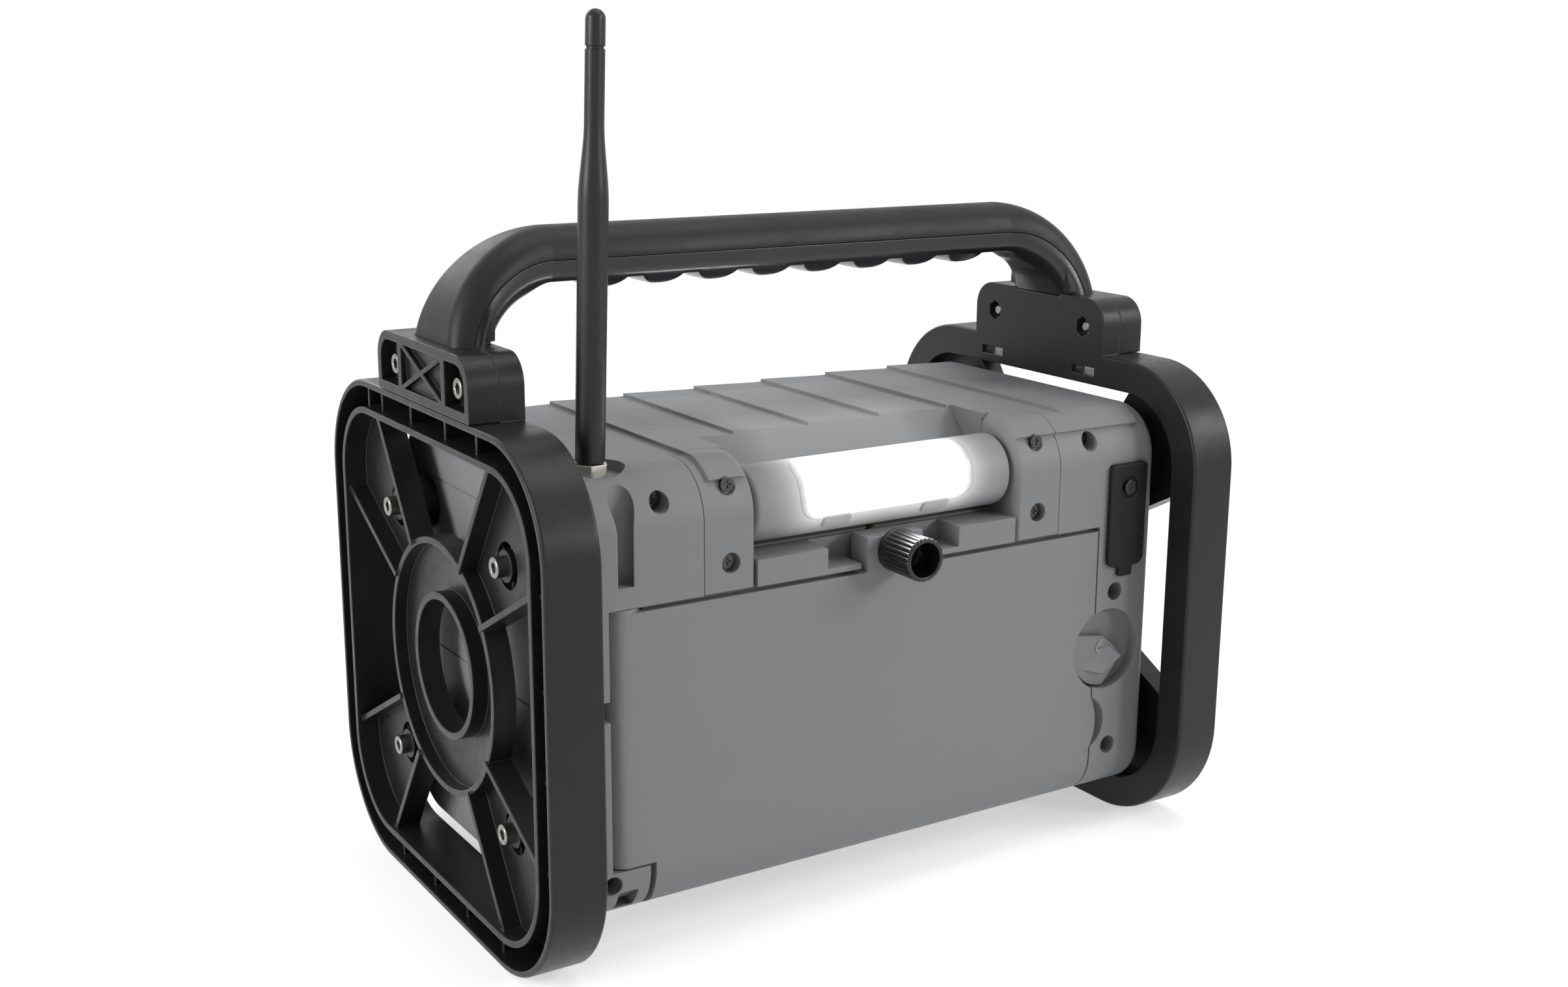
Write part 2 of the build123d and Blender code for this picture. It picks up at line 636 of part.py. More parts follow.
def facing_rear(x, y, z):
    """Places a screw so that its head faces +Y."""
    return Pos(x, y, z) * Rot(-90, 0, 0)


def bolt_places():
    """The four guard bolts of one side, as (Y, Z)."""
    return [(sy * BOLT_Y, MID_Z + sz * BOLT_Z) for sy in (-1, 1) for sz in (-1, 1)]


def clamp_places():
    """The two clamp bolts of one side, as (Y, Z)."""
    return [(sy * CLAMP_BOLT_Y, CLAMP_BOLT_Z) for sy in (-1, 1)]


# ================================================================ side guards
def guard_outline():
    """Side view of a guard: round corners, larger at the feet."""
    face = rectangle(-GUARD_HALF, GUARD_HALF, 0, GUARD_HEIGHT)
    top = face.vertices().group_by(Axis.Y)[-1]
    face = fillet(top, TOP_CORNER)
    foot = face.vertices().group_by(Axis.Y)[0]
    return fillet(foot, FOOT_CORNER)


def rim_ribs():
    """The cross ribs of the rim's channel, each reaching over the whole band."""
    x1 = GUARD_OUT - RIM_RIB_DROP
    half = RIM_RIB / 2
    ribs = []
    for share in TOP_RIBS:
        y = share * GUARD_HALF
        ribs.append(block(GUARD_IN, x1, y - half, y + half, GUARD_HEIGHT - RIM_BAND, GUARD_HEIGHT))
    for share in SIDE_RIBS:
        y = share * GUARD_HALF
        z = MID_Z + y
        ribs.append(block(GUARD_IN, x1, y - half, y + half, 0, RIM_BAND))
        ribs.append(block(GUARD_IN, x1, -GUARD_HALF, RIM_BAND - GUARD_HALF, z - half, z + half))
        ribs.append(block(GUARD_IN, x1, GUARD_HALF - RIM_BAND, GUARD_HALF, z - half, z + half))
    return ribs


def rim(shape):
    """The rim's U-channel, open outwards, with rounded edges and its cross ribs."""
    solid = prism_x(shape, GUARD_IN, GUARD_OUT)
    ends = solid.faces().sort_by(Axis.X)
    solid = fillet(ends[0].edges() + ends[-1].edges(), RIM_EDGE)
    solid -= prism_x(offset(shape, -RIM_BAND), GUARD_IN - 1, GUARD_OUT + 1)
    groove = offset(shape, -RIM_WALL) - offset(shape, RIM_WALL - RIM_BAND)
    channel = solid - prism_x(groove, GUARD_IN + GUARD_WEB, GUARD_OUT + 1)
    between = prism_x(offset(shape, -RIM_WALL / 2) - offset(shape, RIM_WALL / 2 - RIM_BAND), GUARD_IN, GUARD_OUT)
    for rib in rim_ribs():
        channel += rib & between
    return channel


def hub():
    """The hub: a ring, a dished floor and a raised lip round the hole."""
    ring_x = GUARD_OUT - HUB_DROP
    lip_x = GUARD_OUT - HUB_LIP_DROP
    floor_x = GUARD_OUT - HUB_FLOOR_DROP
    low_x = floor_x - HUB_DISH
    wall_r = HUB_R - RIM_WALL
    profile = Plane.XY * outline(
        (ARM_BACK_X, HUB_R), (ring_x, HUB_R), (ring_x, wall_r), (floor_x, wall_r),
        (low_x, HUB_LIP_R), (lip_x, HUB_LIP_R), (lip_x, HUB_HOLE_R),
        (low_x - GUARD_WEB, HUB_HOLE_R), (ARM_BACK_X, wall_r))
    return Pos(0, 0, HUB_Z) * revolve(profile, Axis.X)


def arm_plan(sy, sz):
    """Side view of one diagonal arm, running out behind the rim."""
    rim_in = RIM_BAND - RIM_WALL / 2
    edge = [
        ARM_ROOT_TOP, (ARM_TIP_Y, MID_Z - rim_in), (ARM_TIP_Y + ARM_FLARE, MID_Z), (GUARD_HALF, MID_Z),
        (GUARD_HALF, ARM_TIP_Z + ARM_FLARE), (GUARD_HALF - rim_in, ARM_TIP_Z), ARM_ROOT_LOW]
    return outline(*[(sy * y, MID_Z + sz * z) for y, z in edge])


def bolt_cup(y, z):
    """A bolt's cup and its boss, joined by short radial ribs, as (walls, hollow, boss)."""
    walls = rod_x(y, z, BOLT_CUP_R + ARM_WALL, GUARD_IN, ARM_FLOOR_X)
    hollow = rod_x(y, z, BOLT_CUP_R, GUARD_IN + GUARD_WEB, GUARD_OUT)
    boss = rod_x(y, z, BOLT_BOSS_R, GUARD_IN, BOLT_SEAT)
    rib = block(GUARD_IN, ARM_FLOOR_X - CUP_RIB_DROP, -CUP_RIB / 2, CUP_RIB / 2, M5_HEAD_R, BOLT_CUP_R + 1)
    for index in range(CUP_RIBS):
        boss += Pos(0, y, z) * Rot(360 / CUP_RIBS * index, 0, 0) * rib
    return walls, hollow, boss


def arm(sy, sz, window):
    """One diagonal arm: two ribs, a floor between them and a cup for its bolt."""
    plan = arm_plan(sy, sz)
    walls = prism_x((plan - offset(plan, -ARM_WALL)) & window, ARM_BACK_X, GUARD_OUT - ARM_DROP)
    floor = prism_x(plan & window, ARM_BACK_X, ARM_FLOOR_X)
    y, z = sy * BOLT_Y, MID_Z + sz * BOLT_Z
    cup, hollow, boss = bolt_cup(y, z)
    return walls + (floor + cup - hollow) + boss - rod_x(y, z, M5_HOLE_R, GUARD_IN - 1, GUARD_OUT)


def clamp_outline():
    """Side view of a handle clamp, round at its two top corners."""
    face = rectangle(-CLAMP_HALF, CLAMP_HALF, GUARD_HEIGHT + GAP, CLAMP_TOP)
    return fillet(face.vertices().group_by(Axis.Y)[-1], CLAMP_CORNER)


def clamp_inner():
    """The clamp half that is moulded on the guard, with its nut pockets."""
    root = rectangle(-CLAMP_HALF, CLAMP_HALF, GUARD_HEIGHT - RIM_WALL, GUARD_HEIGHT + CLAMP_CORNER)
    half = prism_x(clamp_outline() + root, GUARD_IN, CLAMP_SPLIT - SHUT / 2) - handle_end(GAP)
    for y, z in clamp_places():
        pocket = hex_prism(M5_NUT_AF + 2 * GAP, NUT_DROP + M5_NUT)
        half -= facing_out(GUARD_IN, y, z) * pocket
        half -= rod_x(y, z, M5_HOLE_R, GUARD_IN - 1, GUARD_OUT)
    return half


def clamp_cover():
    """The screwed-on clamp half: a framed face with crossed ribs and two screw pockets."""
    cover = prism_x(clamp_outline(), CLAMP_SPLIT + SHUT / 2, GUARD_OUT) - handle_end(GAP)
    inner = offset(clamp_outline(), -CLAMP_FRAME)
    middle = rectangle(-CLAMP_BAY_Y, CLAMP_BAY_Y, GUARD_HEIGHT, CLAMP_TOP)
    between = rectangle(-CLAMP_POCKET_Y, CLAMP_POCKET_Y, GUARD_HEIGHT, CLAMP_TOP)
    cover -= prism_x(inner - between, CLAMP_SEAT, GUARD_OUT)
    low = GUARD_HEIGHT + GAP + CLAMP_FRAME
    high = CLAMP_TOP - CLAMP_FRAME
    lean = degrees(atan2(high - low, 2 * CLAMP_BAY_Y))
    bar = Rectangle(3 * CLAMP_BAY_Y, CLAMP_RIB)
    cross = Pos(0, (low + high) / 2) * (Rot(0, 0, lean) * bar + Rot(0, 0, -lean) * bar)
    cover -= prism_x((inner & middle) - cross, GUARD_OUT - CLAMP_RIB_DEEP, GUARD_OUT)
    for y, z in clamp_places():
        cover -= rod_x(y, z, M5_HOLE_R, GUARD_IN, GUARD_OUT)
    return cover


def guard():
    """The whole +X side guard."""
    shape = guard_outline()
    window = offset(shape, RIM_WALL / 2 - RIM_BAND) - Pos(0, HUB_Z) * Circle(HUB_R - RIM_WALL / 2)
    body = rim(shape) + hub()
    for sy in (-1, 1):
        for sz in (-1, 1):
            body += arm(sy, sz, window)
    body += clamp_inner()
    for sy in (-1, 1):
        y0 = sy * SLOT_MID_Y - SLOT_LONG / 2
        body -= block(GUARD_IN - 1, GUARD_IN + GUARD_WEB + 1, y0, y0 + SLOT_LONG,
                      GUARD_HEIGHT - SLOT_DROP - SLOT_TALL, GUARD_HEIGHT - SLOT_DROP)
    return body


def guard_screws():
    """The bolts that hold both guards to the housing."""
    length = BOLT_SEAT - BODY_HALF + M5_BITE
    return [facing_out(BOLT_SEAT, y, z) * cap_screw(length) for y, z in bolt_places()]


def clamp_screws():
    """The bolts that close the handle clamps."""
    return [facing_out(CLAMP_SEAT, y, z) * cap_screw(CLAMP_SEAT - NUT_FACE) for y, z in clamp_places()]


def clamp_nuts():
    """The nuts in the guards' hex pockets."""
    nut = hex_prism(M5_NUT_AF, M5_NUT) - Pos(0, 0, M5_NUT / 2) * Cylinder(M5_R + RUN, M5_NUT)
    return [facing_out(NUT_FACE, y, z) * nut for y, z in clamp_places()]


# ================================================================ handle
def handle_section(share, grow=0.0):
    """The handle's section from the round grip (share 0) to the flat foot (share 1)."""
    round_r = GRIP_R - GRIP_FLAT
    thick = 2 * GRIP_R + share * (FOOT_THICK - 2 * GRIP_R)
    wide = 2 * GRIP_R + share * (FOOT_LONG - 2 * GRIP_R)
    edge = round_r + share * (FOOT_EDGE_R - round_r)
    return RectangleRounded(thick + 2 * grow, wide + 2 * grow, edge + grow)


def handle_bend(grow=0.0):
    """The +X bend, flattening from the grip to the foot."""
    sections = []
    for step in range(BEND_STEPS + 1):
        share = step / BEND_STEPS
        turn = radians(90 * (1 - share))
        x = GRIP_END + BEND_R * cos(turn)
        z = BEND_Z + BEND_R * sin(turn)
        across = Plane(origin=(x, 0, z), x_dir=(cos(turn), 0, sin(turn)), z_dir=(sin(turn), 0, -cos(turn)))
        sections.append(across * handle_section(share, grow))
    return loft(sections)


def handle_end(grow=0.0):
    """The +X bend with its foot and tenon, or with grow the room that they need."""
    foot = Pos(CLAMP_SPLIT, 0) * handle_section(1, grow)
    tenon = Pos(CLAMP_SPLIT, 0) * Rectangle(TENON_THICK + 2 * grow, TENON_LONG + 2 * grow)
    return handle_bend(grow) + prism_z(foot, FOOT_END - grow, BEND_Z) + prism_z(tenon, TENON_END - grow, FOOT_END)


def handle_solid():
    """The whole handle, grip, bends, feet and tenons."""
    across = Plane(origin=(-GRIP_END, 0, GRIP_Z), x_dir=(0, 0, 1), z_dir=(1, 0, 0))
    straight = extrude(across * handle_section(0), 2 * GRIP_END)
    end = handle_end()
    return straight + end + mirror(end, about=Plane.YZ)


def below_split(inset):
    """Everything below and inside the handle's parting surface, moved inwards by inset."""
    half = CLAMP_SPLIT - inset
    face = rectangle(-half, half, TENON_END - 1, GRIP_Z - inset)
    face = fillet(face.vertices().group_by(Axis.Y)[-1], BEND_R - inset)
    return prism_y(face, -FOOT_LONG, FOOT_LONG)


def finger_cuts():
    """The flat underside between the finger bumps."""
    low = GRIP_Z - GRIP_R
    reach = GRIP_END - FINGER_END_IN
    cut = block(-reach, reach, -2 * GRIP_R, 2 * GRIP_R, low - GRIP_R, low + BUMP_DEEP)
    radius = (BUMP_LONG ** 2 / 4 + BUMP_DEEP ** 2) / (2 * BUMP_DEEP)
    for index in range(BUMPS):
        x = (index - (BUMPS - 1) / 2) * BUMP_PITCH
        cut -= rod_y(x, low + radius, radius, -2 * GRIP_R - 1, 2 * GRIP_R + 1)
    return cut


def handle_halves(solid):
    """The upper shell and the lower grip."""
    shell = solid - below_split(0)
    grip = (solid & below_split(SHUT)) - finger_cuts()
    return shell, grip


# ================================================================ housing
def body_outline(inset=0.0):
    """Side view of the housing, moved inwards by inset."""
    face = rectangle(FRONT_Y + inset, REAR_Y - inset, BODY_BOTTOM + inset, BODY_TOP - inset)
    rear = face.vertices().group_by(Axis.X)[-1]
    face = fillet(rear, REAR_CORNER - inset)
    front = face.vertices().group_by(Axis.X)[0]
    return fillet(front, FRONT_CORNER - inset)


def top_panels():
    """Six shallow panels along the top, each higher at its +X edge."""
    root = BODY_TOP - PANEL_ROOT
    points = [(PANEL_START, root)]
    for index in range(PANELS):
        x = PANEL_START - index * PANEL_STEP
        points.append((x, BODY_TOP + PANEL_CREST))
        points.append((x - PANEL_STEP, BODY_TOP + PANEL_TROUGH))
    points.append((PANEL_START - PANELS * PANEL_STEP, root))
    steps = prism_y(outline(*points), FRONT_Y, REAR_Y + PANEL_CREST)
    centre_y = REAR_Y - REAR_CORNER
    centre_z = BODY_TOP - REAR_CORNER
    turn = radians(90 - PANEL_REACH)
    far = 2 * REAR_CORNER
    front = FRONT_Y + PANEL_EDGE
    reach = outline(
        (centre_y, centre_z), (centre_y + far * cos(turn), centre_z + far * sin(turn)),
        (centre_y, BODY_TOP + far), (front - 2 * PANEL_CREST, BODY_TOP + far),
        (front, BODY_TOP - 2 * PANEL_CREST), (front, centre_z))
    return steps & prism_x(offset(body_outline(), PANEL_CREST) & reach, -BODY_HALF, BODY_HALF)


def side_grooves():
    """The two shallow seams along each side of the housing."""
    grooves = []
    for up in GROOVE_UP:
        z = BODY_BOTTOM + up
        for side in (-1, 1):
            x0, x1 = sorted((side * (BODY_HALF - GROOVE_DEEP), side * (BODY_HALF + 1)))
            grooves.append(block(x0, x1, FRONT_Y + FRONT_CORNER, REAR_Y - REAR_CORNER, z, z + GROOVE_WIDE))
    return grooves


def body_form():
    """The housing's outer form as one solid."""
    form = prism_x(body_outline(), -BODY_HALF, BODY_HALF)
    ends = form.faces().sort_by(Axis.X)
    form = fillet(ends[0].edges() + ends[-1].edges(), SIDE_EDGE)
    return form + top_panels() - side_grooves()


def skin(inset, x0, x1, z0, z1):
    """The rear half of the housing's skin, inset deep, between two sides and two heights."""
    shell = prism_x(body_outline(-PANEL_CREST) - body_outline(inset), x0, x1)
    return shell & block(x0, x1, 0, REAR_Y + PANEL_CREST + 1, z0, z1)


def door_zone(inset, side_gap, top, form):
    """The skin of the housing that the door takes up, inset deep."""
    zone = block(DOOR_FREE_X - side_gap, BODY_HALF + 1, REAR_Y - DOOR_WRAP - side_gap, REAR_Y + 1, 0, top)
    core = prism_x(body_outline(inset), -BODY_HALF - 1, BODY_HALF + 1)
    return (form & zone) - core


def door_solid(form):
    """The door's shell with its round hinge edge, tongue and latch notch."""
    door = door_zone(DOOR_WALL, 0, DOOR_TOP, form)
    door &= block(DOOR_FREE_X, DOOR_HINGE_X, 0, REAR_Y + 1, 0, DOOR_TOP)
    low = BLOCK_TOP + BLOCK_SLIT
    door -= block(BLOCK_X - BLOCK_SLOT, BODY_HALF + 1, 0, REAR_Y + 1, 0, low)
    door -= rod_z(DOOR_HINGE_X, DOOR_HINGE_Y, BLOCK_SWEEP, 0, low)
    swing = DOOR_HINGE_X - DOOR_FREE_X + DOOR_SIDE_GAP - 2 * GAP
    door &= rod_z(DOOR_HINGE_X, DOOR_HINGE_Y, swing, 0, DOOR_TOP)
    door += rod_z(DOOR_HINGE_X, DOOR_HINGE_Y, DOOR_EDGE_R, low, DOOR_TOP_EDGE - GAP)
    bulge_r = (SCOOP_HALF ** 2 + DOOR_BULGE ** 2) / (2 * DOOR_BULGE)
    bulge = rod_y(DOOR_FREE_X - DOOR_BULGE + bulge_r, SCOOP_Z, bulge_r, DOOR_IN_Y, REAR_Y)
    door += bulge & block(DOOR_FREE_X - DOOR_BULGE, DOOR_FREE_X + 1, 0, REAR_Y, 0, DOOR_TOP)
    x0, x1 = TONGUE_X - TONGUE_HALF, TONGUE_X + TONGUE_HALF
    door += block(x0, x1, DOOR_IN_Y, REAR_Y, DOOR_TOP - TONGUE_ROOT, TONGUE_TOP)
    door += block(x0, x1, REAR_Y - TONGUE_THICK, REAR_Y, DOOR_TOP_EDGE + GAP, TONGUE_TOP)
    door -= rod_y(TONGUE_X, KNOB_Z, SHANK_R + RUN, 0, REAR_Y + 1)
    door -= rod_y(LATCH_X, LATCH_Z, LATCH_R + GAP, 0, REAR_Y + 1)
    door -= rod_z(DOOR_HINGE_X, DOOR_HINGE_Y, PIN_R + RUN, 0, BLOCK_TOP + PIN_LONG / 2 + GAP)
    door -= rod_z(DOOR_HINGE_X, DOOR_HINGE_Y, PIN_R + RUN, DOOR_TOP_EDGE - PIN_LONG / 2 - GAP, BODY_TOP)
    return door - seal_groove()


def seal_ring(wide, y0, y1):
    """A rectangular ring round the battery bay."""
    half_x = BAY_HALF + SEAL_MARGIN
    half_z = BAY_HALF_Z + SEAL_MARGIN
    outer = RectangleRounded(2 * (half_x + wide), 2 * (half_z + wide), SEAL_CORNER + wide)
    ring = outer - RectangleRounded(2 * half_x, 2 * half_z, SEAL_CORNER)
    return prism_y(Pos(BAY_MID_X, BAY_MID_Z) * ring, y0, y1)


def seal_groove():
    """The groove in the door that holds the seal."""
    return seal_ring(SEAL_WIDE, DOOR_IN_Y - 1, DOOR_IN_Y + SEAL_DEEP)


def door_seal():
    """The rubber seal, a little proud of the door's inner face."""
    return seal_ring(SEAL_WIDE, DOOR_IN_Y - GAP / 2, DOOR_IN_Y + SEAL_DEEP)


def door_pins():
    """Two steel hinge pins, half in the door and half in the housing."""
    low = rod_z(DOOR_HINGE_X, DOOR_HINGE_Y, PIN_R, BLOCK_TOP - PIN_LONG / 2, BLOCK_TOP + PIN_LONG / 2)
    high = rod_z(DOOR_HINGE_X, DOOR_HINGE_Y, PIN_R, DOOR_TOP_EDGE - PIN_LONG / 2, DOOR_TOP_EDGE + PIN_LONG / 2)
    return [low, high]


def pin_seats():
    """The housing's holes for the hinge pins, where each pin is pressed in."""
    low = rod_z(DOOR_HINGE_X, DOOR_HINGE_Y, PIN_R, BLOCK_TOP - PIN_LONG / 2, BLOCK_TOP + 1)
    high = rod_z(DOOR_HINGE_X, DOOR_HINGE_Y, PIN_R, DOOR_TOP_EDGE - 1, DOOR_TOP_EDGE + PIN_LONG / 2)
    return low + high


def lamp_recess():
    """The round-backed recess across the top rear corner."""
    slope = outline(
        (RECESS_TOP_Y - 4, BODY_TOP + 8), (RECESS_TOP_Y, BODY_TOP), (RECESS_SLOPE_Y, RECESS_SLOPE_Z),
        (LAMP_Y, LEDGE_Z), (REAR_Y + 5, LEDGE_Z), (REAR_Y + 5, BODY_TOP + 8))
    tube = Pos(LAMP_Y, LAMP_Z) * Circle(LAMP_R + LAMP_CLEAR)
    return prism_x(slope + tube, -RECESS_HALF, RECESS_HALF)


def tongue_notch():
    """The stepped notch in the ledge for the door's tongue."""
    wide = block(TONGUE_X - NOTCH_HALF, TONGUE_X + NOTCH_HALF, NOTCH_BACK, REAR_Y + 1, NOTCH_FLOOR, LEDGE_Z + 1)
    half = TONGUE_HALF + TONGUE_GAP
    slot = block(TONGUE_X - half, TONGUE_X + half, NOTCH_BACK, REAR_Y + 1, DOOR_TOP, LEDGE_Z + 1)
    return wide + slot


def cheek_zone(side, gap=0.0):
    """The corner region of one lamp cheek, or with gap the room that it needs."""
    x0, x1 = sorted((side * (RECESS_HALF - gap), side * (CHEEK_OUT + gap)))
    return block(x0, x1, REAR_Y - CHEEK_DEEP - gap, REAR_Y + 5, DOOR_TOP_EDGE + GAP - gap, BODY_TOP + 8)


def cheek(form, side):
    """One lamp cheek: flush with the housing, round beside the lamp, with its bores."""
    x0, x1 = sorted((side * RECESS_HALF, side * (CHEEK_OUT + 1)))
    hull = prism_x(body_outline(-PANEL_CREST), x0, x1)
    near = hull.faces().sort_by(Axis.X)[0 if side > 0 else -1]
    piece = form & cheek_zone(side) & fillet(near.edges(), CHEEK_ROUND)
    x0, x1 = sorted((side * (RECESS_HALF - 1), side * (RECESS_HALF + TRUNNION_LONG + GAP)))
    piece -= rod_x(LAMP_Y, LAMP_Z, TRUNNION_R + RUN, x0, x1)
    for z in CHEEK_SCREW_Z:
        piece -= rod_y(side * CHEEK_SCREW_X, z, SCREW_HOLE_R, CHEEK_SEAT, REAR_Y + 5)
        piece -= rod_y(side * CHEEK_SCREW_X, z, CHEEK_SHANK_R + GAP, 0, REAR_Y)
    return piece


def cheek_screws():
    """Four small cross-head screws, two per cheek."""
    screw = pan_screw(CHEEK_HEAD_R, CHEEK_HEAD, CHEEK_SHANK_R, CHEEK_DEEP - CHEEK_HOLE_DEEP + CHEEK_BITE)
    return [facing_rear(side * CHEEK_SCREW_X, CHEEK_SEAT, z) * screw for side in (-1, 1) for z in CHEEK_SCREW_Z]


def housing_screws():
    """The long screws deep in the rear holes."""
    screw = pan_screw(SCREW_HEAD_R, SCREW_HEAD, SCREW_SHANK_R, SCREW_LONG)
    return [facing_rear(x, SCREW_SEAT, z) * screw for x, z in REAR_SCREWS]


def bay_opening():
    """The battery bay's hollow."""
    return block(BAY_MID_X - BAY_HALF, BAY_MID_X + BAY_HALF, BAY_FLOOR, REAR_Y + 1,
                 BAY_MID_Z - BAY_HALF_Z, BAY_MID_Z + BAY_HALF_Z)


def scoop():
    """The round finger scoop beside the door's free edge."""
    radius = (SCOOP_HALF ** 2 + SCOOP_OUT ** 2) / (2 * SCOOP_OUT)
    ball = Pos(DOOR_FREE_X - SCOOP_OUT + radius, REAR_Y + SCOOP_LIFT, SCOOP_Z) * Sphere(radius)
    return ball & block(DOOR_FREE_X - 2 * SCOOP_OUT, DOOR_FREE_X + SCOOP_OUT, SEAT_Y, REAR_Y + 2 * SCOOP_LIFT,
                        SCOOP_Z - 2 * SCOOP_HALF, SCOOP_Z + 2 * SCOOP_HALF)


def screw_cuts():
    """The holes of every screw that goes into the rear housing."""
    cuts = []
    for x, z in REAR_SCREWS:
        cuts.append(rod_y(x, z, SCREW_HOLE_R, SCREW_SEAT, REAR_Y + 1))
        cuts.append(rod_y(x, z, SCREW_SHANK_R + RUN, SCREW_SEAT - SCREW_LONG, REAR_Y))
    for side in (-1, 1):
        for z in CHEEK_SCREW_Z:
            deep = REAR_Y - CHEEK_DEEP - CHEEK_BITE
            cuts.append(rod_y(side * CHEEK_SCREW_X, z, CHEEK_SHANK_R + RUN, deep, REAR_Y))
        for y, z in bolt_places():
            x0, x1 = sorted((side * (BODY_HALF - M5_BITE), side * (BODY_HALF + 1)))
            cuts.append(rod_x(y, z, M5_R + RUN, x0, x1))
    return cuts


def corner_cuts():
    """The pocket in the corner block and the notch in the strip beside the hinge."""
    pocket = skin(NICK_DEEP, BODY_HALF - NICK_IN[1], BODY_HALF - NICK_IN[0],
                  BODY_BOTTOM + NICK_UP[0], BODY_BOTTOM + NICK_UP[1])
    notch = skin(STRIP_NOTCH_DEEP, BODY_HALF - STRIP_NOTCH_IN[1], BODY_HALF - STRIP_NOTCH_IN[0],
                 BODY_BOTTOM + STRIP_NOTCH_UP[0], BODY_BOTTOM + STRIP_NOTCH_UP[1])
    return [pocket, notch]


def antenna_cuts():
    """The flat under the antenna's nut, its stud's hole and the upright groove below it."""
    flat = rod_z(0, 0, ANT_FLAT_R, 0, ANT_FLAT_R)
    hole = rod_z(0, 0, ANT_STUD_R, -ANT_STUD_LONG, ANT_FLAT_R)
    groove = rod_z(POCKET_X, REAR_Y - POCKET_DEEP, POCKET_R, POCKET_LOW, ANT_FLAT_Z + 1)
    return [on_antenna_axis(flat), on_antenna_axis(hole), groove]


def rear_cuts():
    """Every pocket and hole in the rear housing, as one list."""
    cuts = [lamp_recess(), tongue_notch(), cheek_zone(1, GAP), cheek_zone(-1, GAP), bay_opening()]
    cuts += [pin_seats(), scoop()] + corner_cuts() + antenna_cuts() + screw_cuts()
    cuts.append(rod_y(LATCH_X, LATCH_Z, LATCH_R, LATCH_FLOOR, REAR_Y + 1))
    cuts.append(rod_y(LATCH_X, LATCH_Z, LATCH_SCREW_R, LATCH_FLOOR - LATCH_SCREW_LONG, REAR_Y))
    half = SOCKET_WIDE / 2
    cuts.append(block(COVER_X - half, COVER_X + half, SOCKET_BACK, REAR_Y + 1, SOCKET_LOW, SOCKET_HIGH))
    cuts.append(rod_y(COVER_X, COVER_SCREW_Z, COVER_SCREW_SHANK, REAR_Y - COVER_SCREW_LONG, REAR_Y + 1))
    cuts.append(rod_y(TONGUE_X, KNOB_Z, INSERT_R + RUN, NOTCH_BACK - INSERT_LONG, NOTCH_BACK + 1))
    return cuts


def rear_housing(form):
    """The rear shell with every recess, hole and boss on the back, top and sides."""
    shell = form & block(-BODY_HALF, BODY_HALF, PARTING_Y, REAR_Y + 5, 0, BODY_TOP + 5)
    core = prism_x(body_outline(WALL), -BODY_HALF + WALL, BODY_HALF - WALL)
    core &= block(-BODY_HALF, BODY_HALF, PARTING_Y - 1, CORE_REAR, 0, BODY_TOP)
    shell -= core
    for x, z in board_posts():
        shell += rod_y(x, z, POST_R, CORE_REAR - POST_LONG, CORE_REAR + 1)
    pocket = door_zone(SEAT_INSET, DOOR_SIDE_GAP, DOOR_TOP_EDGE, form)
    pocket &= block(-BODY_HALF, DOOR_HINGE_X, 0, REAR_Y + 1, 0, DOOR_TOP_EDGE)
    pocket -= block(BLOCK_X, BODY_HALF + 1, 0, REAR_Y + 1, 0, BLOCK_TOP)
    shell -= pocket
    edge_r = DOOR_EDGE_R + GAP
    shell -= rod_z(DOOR_HINGE_X, DOOR_HINGE_Y, edge_r, BLOCK_TOP, DOOR_TOP_EDGE)
    shell -= block(DOOR_HINGE_X - edge_r, DOOR_HINGE_X + edge_r, DOOR_HINGE_Y, REAR_Y + 1, BLOCK_TOP, DOOR_TOP_EDGE)
    for cut in rear_cuts():
        shell -= cut
    return shell


def board_posts():
    """Four posts that carry the main board, as (X, Z)."""
    half_x = BOARD_WIDE / 2 - BOARD_EDGE
    half_z = BOARD_TALL / 2 - BOARD_EDGE
    return [(sx * half_x, MID_Z + sz * half_z) for sx in (-1, 1) for sz in (-1, 1)]


# ================================================================ front
def bolt_posts(side):
    """The front shell's posts round the guard bolts of one side, each with its bore."""
    x0, x1 = sorted((side * (BODY_HALF - M5_BITE - M5_POST_WALL), side * (BODY_HALF - 1)))
    return [rod_x(y, z, M5_R + M5_POST_WALL, x0, x1) for y, z in bolt_places() if y < 0]


def front_housing(form):
    """The front shell with its speaker and panel openings."""
    shell = form & block(-BODY_HALF, BODY_HALF, FRONT_Y - 1, PARTING_Y - SHUT, 0, BODY_TOP + 5)
    core = prism_x(body_outline(WALL), -BODY_HALF + WALL, BODY_HALF - WALL)
    shell -= core & block(-BODY_HALF, BODY_HALF, FRONT_Y, PARTING_Y, 0, BODY_TOP)
    keep = block(-BODY_HALF, BODY_HALF, FRONT_Y, PARTING_Y - SHUT, 0, BODY_TOP)
    for side in (-1, 1):
        x = side * SPEAKER_X
        shell -= rod_y(x, SPEAKER_Z, GRILLE_R + GAP, FRONT_Y - 1, FRONT_Y + GRILLE_THICK - GRILLE_PROUD)
        shell -= rod_y(x, SPEAKER_Z, DRIVER_R - DRIVER_LIP, FRONT_Y - 1, FRONT_Y + WALL + 1)
        for post in bolt_posts(side):
            shell += post & keep
        for y, z in bolt_places():
            x0, x1 = sorted((side * (BODY_HALF - M5_BITE), side * (BODY_HALF + 1)))
            shell -= rod_x(y, z, M5_R + RUN, x0, x1)
    opening = round_rectangle(-PANEL_HALF - GAP, PANEL_HALF + GAP, PANEL_LOW - GAP, PANEL_HIGH + GAP, PANEL_CORNER)
    return shell - prism_y(opening, FRONT_Y - 1, FRONT_Y + WALL + 1)


